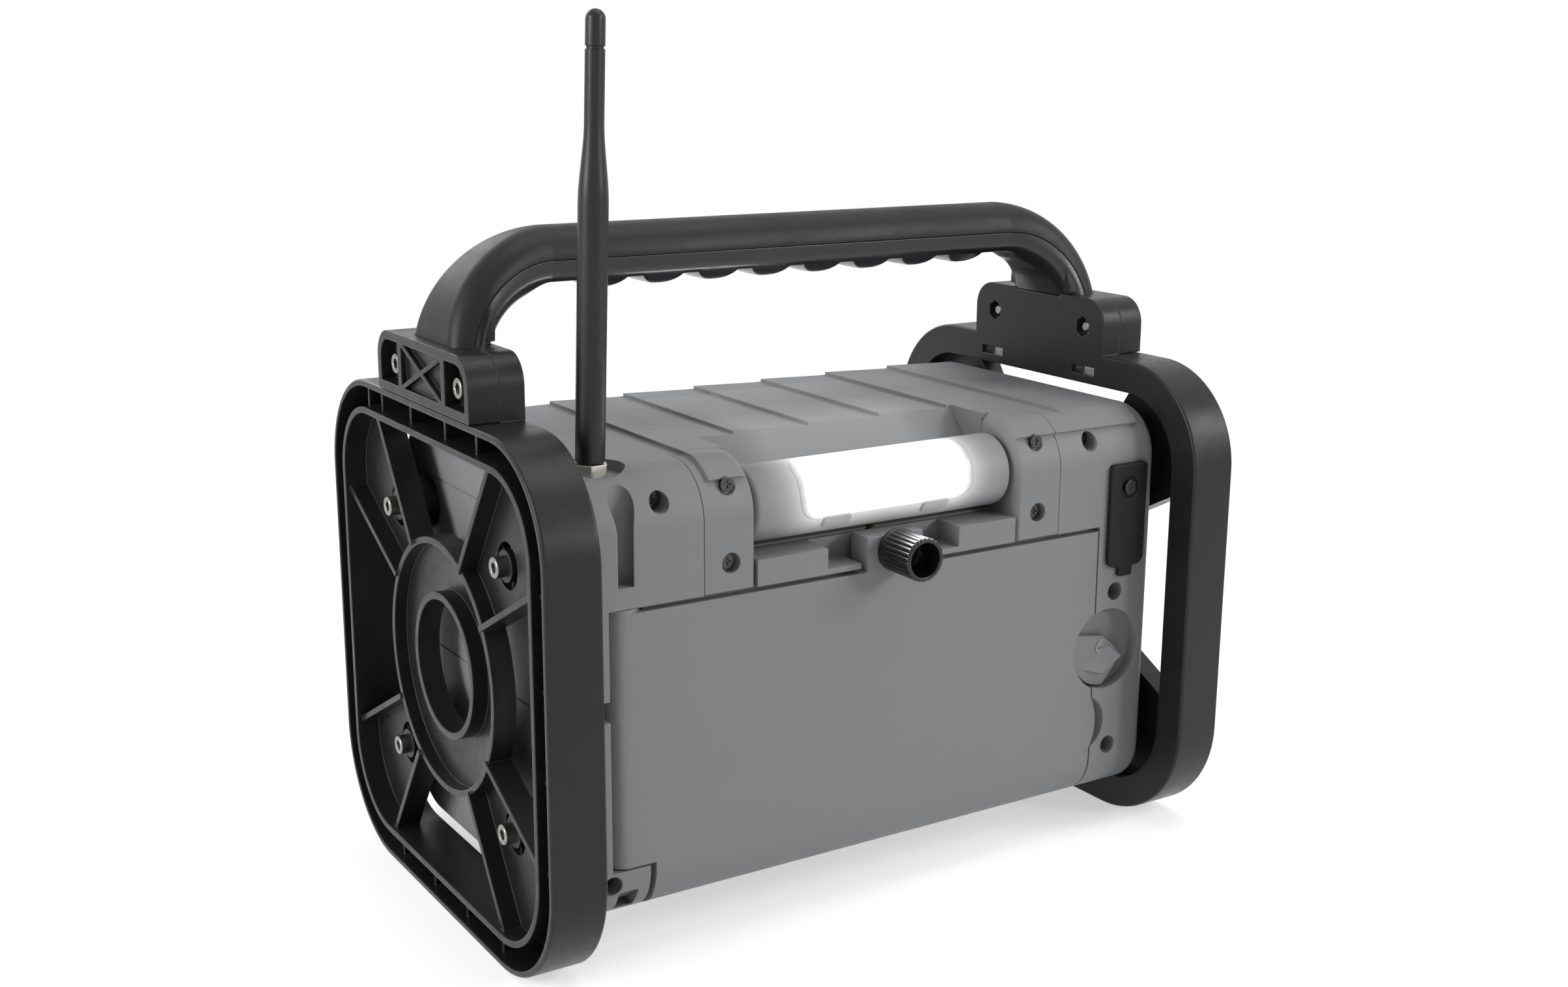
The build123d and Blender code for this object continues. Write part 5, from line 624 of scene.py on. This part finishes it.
# ------------------------------------------------------------------ handle
@dataclass
class CarryHandle:
    """The arched handle: a matt upper shell over a polished grip with finger bumps."""

    split: float = 157.2        # the upright ends' axis, from the middle
    axis_z: float = 273.4       # the straight grip's axis
    radius: float = 13.2
    bend: float = 40.0
    foot_thick: float = 16.0
    foot_wide: float = 50.0
    foot_edge: float = 7.0
    foot_low: float = 231.8
    seam: float = 0.3           # rounding of both halves along their seam
    seam_gap: float = 0.16
    bumps: int = 8
    bump_pitch: float = 26.4
    bump_long: float = 19.0
    bump_deep: float = 4.4
    grip_edge: float = 9.5      # corner radius of the grip's lower half
    flat_fade: float = 0.8      # share of the bend in which the flat underside fades out
    flat_edge: float = 0.3      # rounding of the flat's edges on the grip
    flat_blend: float = 2.5     # and how much it grows along the bend
    ear_top: float = 257.5      # inner block at each foot
    ear_low: float = 244.6
    ear_in: float = 12.2        # its inner face, from the upright ends' axis
    ear_half: float = 19.5
    ear_sink: float = 0.6       # how far its sides lie inside the flanks
    ear_lean: float = 0.636     # how much its inner face steps back where it is wider

    def path(self) -> tuple[np.ndarray, np.ndarray, np.ndarray]:
        """Work out the line from foot to foot.

        Straight up from the foot, a quarter circle of radius `bend`, then along X; the other half is its mirror.
        The section's share goes from 1 at the foot to 0 at the grip, linearly with the bend's angle.

        Returns:
            The (x, z) points, the outward directions and the shares.
        """
        low = self.axis_z - self.bend
        angle = np.radians(np.linspace(0, 90, 49))
        rise = np.linspace(self.foot_low, low, 3)[:-1]
        along = np.linspace(self.split - self.bend, 0, 235)[1:]
        x = np.concatenate([np.full(2, self.split), self.split - self.bend + self.bend * np.cos(angle), along])
        z = np.concatenate([rise, low + self.bend * np.sin(angle), np.full(234, self.axis_z)])
        nx = np.concatenate([np.ones(2), np.cos(angle), np.zeros(234)])
        nz = np.concatenate([np.zeros(2), np.sin(angle), np.ones(234)])
        share = np.concatenate([np.ones(2), 1 - angle / (np.pi / 2), np.zeros(234)])
        x, nx = np.concatenate([x, -x[-2::-1]]), np.concatenate([nx, -nx[-2::-1]])
        z, nz, share = (np.concatenate([v, v[-2::-1]]) for v in (z, nz, share))
        return np.stack([x, z], -1), np.stack([nx, nz], -1), share

    def half_section(self, share: np.ndarray, gap: float, corner: float) -> tuple[np.ndarray, np.ndarray]:
        """Work out half of a rounded rectangle for each share, with a rounded seam edge.

        Sizes run linearly from the grip's circle to the foot's flat oval. A corner point is
        (b - r + r cos a, A - r + r sin a), with half width b, half thickness A and corner radius r.

        Args:
            share: 0 for the grip, 1 for the foot, one value per row.
            gap: distance of the half's flat face from the seam's plane.
            corner: the corner radius at the grip.

        Returns:
            Across and outward coordinates, rows by columns.
        """
        deep = self.radius + share[:, None] * (self.foot_thick / 2 - self.radius)
        wide = self.radius + share[:, None] * (self.foot_wide / 2 - self.radius)
        edge = corner + share[:, None] * (self.foot_edge - corner)
        low = np.arcsin(np.clip((gap + self.seam - (deep - edge)) / edge, 0, 0.9))
        a = low + (np.pi / 2 - low) * np.linspace(0, 1, 17)
        y = wide - edge + edge * np.cos(a)
        n = deep - edge + edge * np.sin(a)
        b = np.radians(np.linspace(-90, 0, 5))[:-1]
        lip_y = y[:, :1] - self.seam + self.seam * np.cos(b)
        lip_n = gap + self.seam + self.seam * np.sin(b)
        flat = np.linspace(0, 1, 6)[1:-1] * np.ones_like(wide)
        floor_y = lip_y[:, :1] * (2 * flat - 1)
        y = np.concatenate([lip_y, y, -y[:, ::-1], -lip_y[:, ::-1], floor_y], 1)
        n = np.concatenate([lip_n + 0 * lip_y, n, n[:, ::-1], (lip_n + 0 * lip_y)[:, ::-1], gap + 0 * floor_y], 1)
        return y, n

    def underside(self, x: np.ndarray, share: np.ndarray) -> np.ndarray:
        """How deep the grip reaches at each x: a flat with round bumps, that fades out into the bends."""
        radius = (self.bump_long ** 2 / 4 + self.bump_deep ** 2) / (2 * self.bump_deep)
        middles = (np.arange(self.bumps) - (self.bumps - 1) / 2) * self.bump_pitch
        off = np.abs(x[:, None] - middles).min(1)
        drop = np.sqrt(np.maximum(radius ** 2 - off ** 2, 0)) - (radius - self.bump_deep)
        reach = self.radius - self.bump_deep + np.maximum(drop, 0)
        out = ease(share / self.flat_fade)
        return reach + out * (2 * self.radius - reach)

    def surface(self, y: np.ndarray, n: np.ndarray) -> np.ndarray:
        """Carry the section along the path: point = path + n * outward, with y across."""
        line, out, _ = self.path()
        x = line[:, :1] + n * out[:, :1]
        z = line[:, 1:] + n * out[:, 1:]
        return np.stack([x, y, z], -1)

    def ear(self, side: int) -> np.ndarray:
        """Work out the inner block at one foot: rounded-rectangle rings from its underside to its top."""
        across = arc((self.ear_half - 1.5, 0), 1.5, 0, 90, 3)
        quarter = np.stack([across[:, 0] - self.ear_half, across[:, 1] - 1.5], -1)
        corners = [(self.ear_half, self.ear_in, 1, 1), (-self.ear_half, self.ear_in, -1, 1),
                   (-self.ear_half, 0, -1, -1), (self.ear_half, 0, 1, -1)]
        ring = np.concatenate([
            (quarter if sy * sn > 0 else quarter[::-1]) * (sy, sn) + (y, n) for y, n, sy, sn in corners])
        z = np.linspace(self.ear_low, self.ear_top, 8)[:, None]
        outer = self.split - self.bend + np.sqrt(self.bend ** 2 - (z - self.axis_z + self.bend) ** 2)
        share = 1 - np.degrees(np.arcsin((z - self.axis_z + self.bend) / self.bend)) / 90
        half = self.radius + share * (self.foot_wide / 2 - self.radius) - self.ear_sink
        inner = self.split - self.ear_in + self.ear_lean * (half - self.ear_half)
        x = outer + (inner - outer) * ring[:, 1] / self.ear_in
        return np.stack([side * x, ring[:, 0] * half / self.ear_half + 0 * x, z + 0 * x], -1)

    def build(self, wardrobe: "Wardrobe") -> None:
        """Make the shell and the grip in place of their nodes."""
        line, _, share = self.path()
        y, n = self.half_section(share, 0.0, self.radius - 0.2)
        shell = Form("handle_upper_shell")
        shell.add(self.surface(y, n))
        shell.add(self.ear(1))
        shell.add(self.ear(-1))
        shell.build(HANDLE_PP, wardrobe, "radio", "cage_black", ("handle_shell",))
        y, n = self.half_section(share, self.seam_gap, self.grip_edge)
        limit = self.underside(line[:, 0], share)[:, None]
        sharp = self.flat_edge + self.flat_blend * share[:, None]
        n = np.maximum(-sharp * np.log(np.exp(-n / sharp) + np.exp(-limit / sharp)), self.seam_gap)
        grip = Form("handle_lower_grip")
        grip.add(self.surface(y, -n))
        grip.build(GRIP_PP, wardrobe, "radio", "grip_gloss", ("handle_grip",))


# ------------------------------------------------------------------ screws, knob, antenna
@dataclass
class SocketScrews:
    """Socket-head screws with round-edged heads and hexagon sockets, on both guards."""

    head_r: float = 4.25
    head: float = 5.0
    edge: float = 0.7
    key: float = 4.0            # across the socket's flats
    key_deep: float = 2.8
    shank_r: float = 2.5
    columns: int = 48
    guard_seat: float = 161.0   # where the guards' heads sit, from the middle
    guard_shank: float = 28.6
    guard_y: float = 56.3       # their axes, each way from the middle
    guard_z: float = 108.75     # the middle height of their axes
    guard_rise: float = 54.8    # and each way from it
    clamp_seat: float = 163.3
    clamp_shank: float = 15.0
    clamp_y: float = 32.7
    clamp_z: float = 229.4

    def one(self, length: float) -> np.ndarray:
        """Work out one screw along +Z with its seat at 0.

        The profile is turned round the axis. In the socket the radius at angle t is the hexagon's,
        R cos 30 / cos(t mod 60 - 30), blended in below the chamfer.

        Args:
            length: shank length under the head.

        Returns:
            The screw's grid.
        """
        corner = self.key / 2 / math.cos(math.radians(30))
        outside = np.concatenate([
            [(self.shank_r - 0.6, -length), (self.shank_r, -length + 0.6), (self.shank_r, 0.0), (self.head_r, 0.0)],
            arc((self.head_r - self.edge, self.head - self.edge), self.edge, 0, 90, 5),
            [(corner + 0.35, self.head), (corner, self.head - 0.35), (corner, self.head - self.key_deep),
             (0.3, self.head - self.key_deep - 0.6)]])
        grid = turned(outside, self.columns)
        t = np.degrees(np.linspace(0, 2 * np.pi, self.columns, endpoint=False))
        hexagon = math.cos(math.radians(30)) / np.cos(np.radians(t % 60 - 30))
        rows = np.arange(len(outside))
        inside = ((rows >= len(outside) - 3) & (rows < len(outside) - 1))[:, None]
        factor = np.where(inside, hexagon, 1.0)
        grid[..., 0] *= factor
        grid[..., 1] *= factor
        return grid

    def place(self, form: Form, seat: float, length: float, spots: list[tuple[float, float]]) -> None:
        """Add a screw at each (y, z) of both sides, its axis along X: (x, y, z) = (side (seat + h), y, z)."""
        screw = self.one(length)
        for side in (-1, 1):
            for y, z in spots:
                form.add(np.stack([side * (seat + screw[..., 2]), y + screw[..., 0], z + screw[..., 1]], -1))

    def build(self, wardrobe: "Wardrobe") -> None:
        """Make the guards' and the clamps' screws."""
        guards = Form("guard_socket_screws")
        spots = [(sy * self.guard_y, self.guard_z + sz * self.guard_rise) for sy in (-1, 1) for sz in (-1, 1)]
        self.place(guards, self.guard_seat, self.guard_shank, spots)
        guards.build(NICKEL, wardrobe, "radio", "screw_chrome", ("guard_screws",))
        clamps = Form("clamp_socket_screws")
        spots = [(sy * self.clamp_y, self.clamp_z) for sy in (-1, 1)]
        self.place(clamps, self.clamp_seat, self.clamp_shank, spots)
        clamps.build(NICKEL, wardrobe, "radio", "screw_chrome", ("clamp_screws",))


@dataclass
class RibbedKnob:
    """The thumbscrew's knob: a plain collar, round ribs and a deep hollow mouth."""

    x: float = -1.5
    z: float = 154.3
    back: float = 86.3
    long: float = 21.0
    radius: float = 9.3
    ribs: int = 26
    rib_deep: float = 0.85
    rib_columns: int = 12
    collar: float = 2.2
    cup_r: float = 7.2
    cup_y: float = 94.3

    def build(self, wardrobe: "Wardrobe") -> None:
        """Make the knob in place of its node.

        The profile is turned about Y. On the ribs the radius is R - d (1 - sqrt(1 - s^2)), where s runs
        from -1 to 1 across each rib, so that round ribs meet in narrow grooves.
        """
        end = self.back + self.long
        line = np.concatenate([
            [(2.0, self.back)], arc((self.radius - 0.6, self.back + 0.6), 0.6, -90, 0, 4),
            [(self.radius, self.back + self.collar - 0.4), (self.radius - 0.15, self.back + self.collar)],
            np.stack([np.full(12, self.radius), np.linspace(self.back + self.collar + 0.3, end - 1.6, 12)], -1),
            arc((self.radius - 1.1, end - 1.1), 1.1, 0, 90, 6),
            arc((self.cup_r + 0.5, end - 0.5), 0.5, 90, 180, 4),
            [(self.cup_r - 0.1, self.cup_y + 1.0), (self.cup_r - 1.0, self.cup_y), (1.0, self.cup_y)]])
        share = ease((line[:, 1] - self.back - self.collar) / 0.8) * (line[:, 0] > self.cup_r + 0.6)
        share *= 1 - 0.55 * ease((line[:, 1] - end + 1.2) / 1.2)
        grid = turned(line, self.ribs * self.rib_columns)
        t = np.linspace(0, self.ribs, self.ribs * self.rib_columns, endpoint=False) % 1.0
        s = (2 * t - 1) * 0.97
        sink = self.rib_deep * (1 - np.sqrt(1 - s ** 2))
        factor = 1 - share[:, None] * sink / line[:, :1]
        x, z, y = grid[..., 0] * factor, grid[..., 1] * factor, grid[..., 2]
        knob = Form("thumbscrew_ribbed_knob")
        knob.add(np.stack([self.x + x, y, self.z + z], -1))
        knob.build(KNOB_GLOSS, wardrobe, "thumbscrew", "knob_gloss", ("thumbscrew_knob",))


@dataclass
class WhipAntenna:
    """The rubber whip: thick sleeve, smooth taper, thin tip with a groove and a round end."""

    foot: tuple[float, float, float] = (126.0, 60.0, 195.6)
    lean: float = 2.0
    nut: float = 5.0
    sleeve_r: float = 5.85
    tip_r: float = 3.8
    taper: tuple[float, float] = (104.0, 134.0)
    groove: float = 160.9
    long: float = 174.85

    def build(self, wardrobe: "Wardrobe") -> None:
        """Make the whip in place of its node.

        Radius against height h: the sleeve's, then R + (r - R) ease((h - h0) / (h1 - h0)) through the taper,
        then the tip's. Each point is turned by the lean about Y and moved to the foot.
        """
        h = np.concatenate([np.linspace(self.nut + 0.9, self.taper[0], 6),
                            np.linspace(*self.taper, 25)[1:], [self.groove - 0.55]])
        r = self.sleeve_r + (self.tip_r - self.sleeve_r) * ease((h - self.taper[0]) / (self.taper[1] - self.taper[0]))
        end = self.long - self.tip_r
        line = np.concatenate([
            [(2.0, self.nut), (self.sleeve_r - 0.8, self.nut)], np.stack([r, h], -1),
            [(self.tip_r - 0.5, self.groove - 0.45), (self.tip_r - 0.5, self.groove + 0.45),
             (self.tip_r, self.groove + 0.6)],
            arc((0.0, end), self.tip_r, 0, 88, 10)])
        grid = turned(line, 40)
        turn = math.radians(-self.lean)
        x = grid[..., 0] * math.cos(turn) + grid[..., 2] * math.sin(turn)
        z = grid[..., 2] * math.cos(turn) - grid[..., 0] * math.sin(turn)
        whip = Form("antenna_rubber_whip")
        whip.add(np.stack([x, grid[..., 1], z], -1) + np.array(self.foot))
        whip.build(WHIP_RUBBER, wardrobe, "radio", "whip_rubber", ("antenna_whip",))


# ------------------------------------------------------------------ lamp
@dataclass
class TubeLamp:
    """The tilting lamp: a closed tube on trunnions, and a curved lens with two clip tabs."""

    y: float = 67.7
    z: float = 177.7
    radius: float = 15.8
    half: float = 64.5
    edge: float = 2.2
    trunnion_r: float = 5.0
    trunnion: float = 72.0
    lens_half: float = 44.0
    lens_round: float = 9.0
    lens_span: float = 58.7     # degrees of the tube on each side of the lens's middle
    aim: float = 33.0
    proud: float = 0.25
    tab_x: float = 25.0
    tab_half: float = 7.0
    tab_low: float = 77.0       # degrees, a tab's lower edge from the lens's middle
    tab_under: float = 4.0      # degrees of it that lie under the lens's edge
    tab_round: float = 1.8
    tab_proud: float = 0.9
    sunk: float = 0.6           # how deep the lens and tabs reach into the tube
    core_half: float = 33.0     # the evenly lit middle, half its length
    core_span: float = 34.0     # and degrees on each side
    core_turn: float = -6.0     # how far its middle lies below the lens's, in degrees

    def patch(self, x: float, turn: float, half_x: float, half_arc: float, rounding: float,
              proud: float) -> np.ndarray:
        """Work out a rounded rectangle wrapped on the tube, with its thickness.

        Boundary point B(t) is a rounded rectangle in (x, arc). A point is s B(t), with s from 0 to 1 on the
        outside and back on the inside, and (x, a) lies at (x, y + R sin a', z + R cos a'), where a' is the
        angle from the lamp's aim.

        Args:
            x: middle of the patch along the tube.
            turn: middle of the patch, in degrees below the lamp's aim.
            half_x: half its length.
            half_arc: half its width along the tube's skin, in millimetres.
            rounding: its corners' radius.
            proud: how far it stands out of the tube.

        Returns:
            The patch's grid.
        """
        ring = even(rounded(half_x, half_arc, rounding), 160)
        grow = np.concatenate([np.linspace(0.02, 1, 24), np.linspace(1, 0.02, 6)[1:]])
        out = np.concatenate([np.full(22, 1.0), [0.75, 0.0], np.full(5, -1.0)])
        flat = grow[:, None, None] * ring
        radius = (self.radius + np.where(out < 0, -self.sunk, out * proud))[:, None]
        angle = np.radians(self.aim - turn) - flat[..., 1] / self.radius
        return np.stack([x + flat[..., 0], self.y + radius * np.cos(angle), self.z + radius * np.sin(angle)], -1)

    def build(self, wardrobe: "Wardrobe") -> None:
        """Make the tube, the lens and the tabs in place of the tube's and the lens's nodes."""
        step, cap = self.edge, self.half
        line = np.concatenate([
            [(1.0, -self.trunnion), (self.trunnion_r, -self.trunnion), (self.trunnion_r, -cap)],
            arc((self.radius - step, step - cap), step, 270, 360, 8),
            arc((self.radius - step, cap - step), step, 0, 90, 8),
            [(self.trunnion_r, cap), (self.trunnion_r, self.trunnion), (1.0, self.trunnion)]])
        grid = turned(line, 72)
        tube = Form("lamp_round_tube")
        tube.add(np.stack([grid[..., 2], self.y + grid[..., 0], self.z + grid[..., 1]], -1))
        tube.build(LAMP_ABS_PAINTED_GLOW, wardrobe, "lamp", "body_grey", ("lamp_tube",))
        half_arc = math.radians(self.lens_span) * self.radius
        lens = Form("lamp_curved_lens")
        lens.add(self.patch(0.0, 0.0, self.lens_half, half_arc, self.lens_round, self.proud))
        lens.build(LENS, wardrobe, "lamp", "lens_clear", ("lamp_lens",))
        top = self.lens_span - self.tab_under
        half_tab = math.radians(self.tab_low - top) / 2 * self.radius
        tabs = Form("lens_clip_tabs")
        for side in (-1, 1):
            tabs.add(self.patch(side * self.tab_x, (self.tab_low + top) / 2, self.tab_half, half_tab,
                                self.tab_round, self.tab_proud))
        tabs.build(LENS_TAB, wardrobe, "lamp", "lens_clear")


# ------------------------------------------------------------------ latch and socket cover
@dataclass
class TurnLatch:
    """The latch's half-moon plate with its slanted finger fin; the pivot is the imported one."""

    x: float = -122.0
    z: float = 89.6
    floor: float = 80.3
    plate: float = 3.2
    reach: float = 18.3
    fin_tall: float = 2.5
    fin_foot: tuple[float, float] = (-2.5, -12.3)    # the crest's lower end, right and up from the axis
    fin_tip: tuple[float, float] = (10.6, -4.7)      # and its upper end
    fin_wide: float = 9.0
    fin_steep: float = 1.8
    fin_low: float = -0.95      # how its lower end slants
    fin_high: float = -0.36     # how its upper end slants
    soft: float = 0.9           # rounding of the fin's ends
    arc_ends: tuple[float, float] = (153.3, 272.7)   # in degrees round the axis
    corners: tuple[tuple[float, float], ...] = ((11.2, -6.4), (11.4, -4.4), (4.6, 2.2), (0.4, 5.6))
    middle: tuple[float, float] = (-4.0, -5.0)       # where the face's rows meet
    lip: float = 0.4            # height of the slanted edge
    lip_in: float = 0.975       # and where it ends, as a share of the way from the middle

    def outline(self) -> np.ndarray:
        """Work out the plate's outline: straight top, corner cut off by the fin's end, then an arc."""
        return even(np.concatenate([arc((0.0, 0.0), self.reach, *self.arc_ends, 48), self.corners]), 220)

    def rise(self, u: np.ndarray, v: np.ndarray) -> np.ndarray:
        """Work out the fin's height: H (1 - d / w) on its long side and a steep fall on the other.

        Here d is the distance from the crest, t the way along it, and both ends are smooth steps.

        Args:
            u: places right of the latch's axis, as seen from the rear.
            v: places above it.

        Returns:
            The heights over the plate.
        """
        foot, tip = np.array(self.fin_foot), np.array(self.fin_tip)
        long = float(np.linalg.norm(tip - foot))
        along = (tip - foot) / long
        t = (u - foot[0]) * along[0] + (v - foot[1]) * along[1]
        d = (v - foot[1]) * along[0] - (u - foot[0]) * along[1]
        slope = np.minimum(1 - d / self.fin_wide, 1 + d / self.fin_steep)
        ends = ease((t - self.fin_low * d) / self.soft) * ease((long + self.fin_high * d - t) / self.soft)
        return self.fin_tall * np.clip(slope, 0, 1) * ends

    def build(self, wardrobe: "Wardrobe") -> None:
        """Make the plate in place of its node.

        A point of its face is C + s (B - C), with B on the outline and s from 0 to 1, at the fin's height.
        """
        middle = np.array(self.middle)
        grow = np.concatenate([[1.0, 1.0, self.lip_in], np.linspace(1, 0.01, 70)[1:]])
        flat = middle + grow[:, None, None] * (self.outline() - middle)
        top = self.floor + self.plate + self.rise(flat[..., 0], flat[..., 1])
        top[0] = self.floor
        top[1] = self.floor + self.plate - self.lip
        latch = Form("latch_turn_plate")
        latch.add(np.stack([self.x - flat[..., 0], top, self.z + flat[..., 1]], -1))
        latch.build(GREY_ABS, wardrobe, "latch", "body_grey", ("latch_plate",), 28.0)


@dataclass
class SocketCover:
    """The rubber cover over the sockets: a soft-edged plate with a pull tab and a screw's recess."""

    x: float = -129.3
    low: float = 128.4
    high: float = 176.3
    half: float = 10.6
    back: float = 86.3
    thick: float = 2.4
    edge: float = 0.9
    corner: float = 4.5
    top_corner: float = 2.2
    tab_half: float = 3.9
    tab_long: float = 4.6
    screw_z: float = 165.5
    recess_r: float = 5.2
    recess: float = 1.4         # thickness left under the recess

    def outline(self) -> np.ndarray:
        """Work out the outline with its tab, from the top right round to the start."""
        r, k, h, tab = self.corner, self.top_corner, self.half, self.tab_half
        low, high, end = self.low, self.high, self.low - self.tab_long
        return np.concatenate([
            arc((h - k, high - k), k, 0, 90, 5), arc((k - h, high - k), k, 90, 180, 5),
            arc((r - h, low + r), r, 180, 270, 8), [(-tab - 0.6, low), (-tab, low - 0.6)],
            arc((1.2 - tab, end + 1.2), 1.2, 180, 270, 4), arc((tab - 1.2, end + 1.2), 1.2, 270, 360, 4),
            [(tab, low - 0.6), (tab + 0.6, low)], arc((h - r, low + r), r, 270, 360, 8)])

    def build(self, wardrobe: "Wardrobe") -> None:
        """Make the cover in place of its node.

        Rows run from the back edge over the rounded front edge, across the face to the recess, and down to
        its floor. A row on the face is a mix of the outline and the recess's circle.
        """
        ring = even(self.outline(), 180)
        turn = np.arctan2(ring[:, 1] - self.screw_z, ring[:, 0])
        circle = np.stack([np.cos(turn), self.screw_z / self.recess_r + np.sin(turn)], -1) * self.recess_r
        step = np.roll(ring, -1, 0) - np.roll(ring, 1, 0)
        out = np.stack([step[:, 1], -step[:, 0]], -1) / np.linalg.norm(step, axis=1)[:, None]
        front = self.back + self.thick
        rows = [(ring, self.back), (ring, front - self.edge)]
        for a in np.linspace(18, 90, 5):
            inset = self.edge * (1 - math.cos(math.radians(a)))
            rows.append((ring - out * inset, front - self.edge * (1 - math.sin(math.radians(a)))))
        inner = ring - out * self.edge
        rows += [(inner + (circle - inner) * s, front) for s in (0.3, 0.65, 1.0)]
        shrunk = circle + (np.array([0, self.screw_z]) - circle) * 0.07
        rows += [(shrunk, front - 0.4), (shrunk, self.back + self.recess)]
        grid = np.stack([np.column_stack([self.x - p[:, 0], np.full(len(p), y), p[:, 1]]) for p, y in rows])
        cover = Form("socket_rubber_cover")
        cover.add(grid)
        cover.build(SEAL_RUBBER, wardrobe, "cover", "seal_rubber", ("socket_cover",))


# ------------------------------------------------------------------ the radio
def dress_nodes(wardrobe: Wardrobe) -> None:
    """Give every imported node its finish."""
    for name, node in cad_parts.items():
        wardrobe.dress(node, NODE_FINISH[name])


def main() -> None:
    """Build the studio, dress the radio and add its made pieces."""
    logging.basicConfig(level=logging.INFO, format="%(message)s")
    Viewpoint().build()
    Studio().build()
    wardrobe = Wardrobe()
    dress_nodes(wardrobe)
    for part in (CarryHandle(), SocketScrews(), RibbedKnob(), WhipAntenna(), TubeLamp(), TurnLatch(),
                 SocketCover()):
        part.build(wardrobe)
    LOG.info("dressed %d nodes", len(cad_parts))


if __name__ == "__main__":
    main()
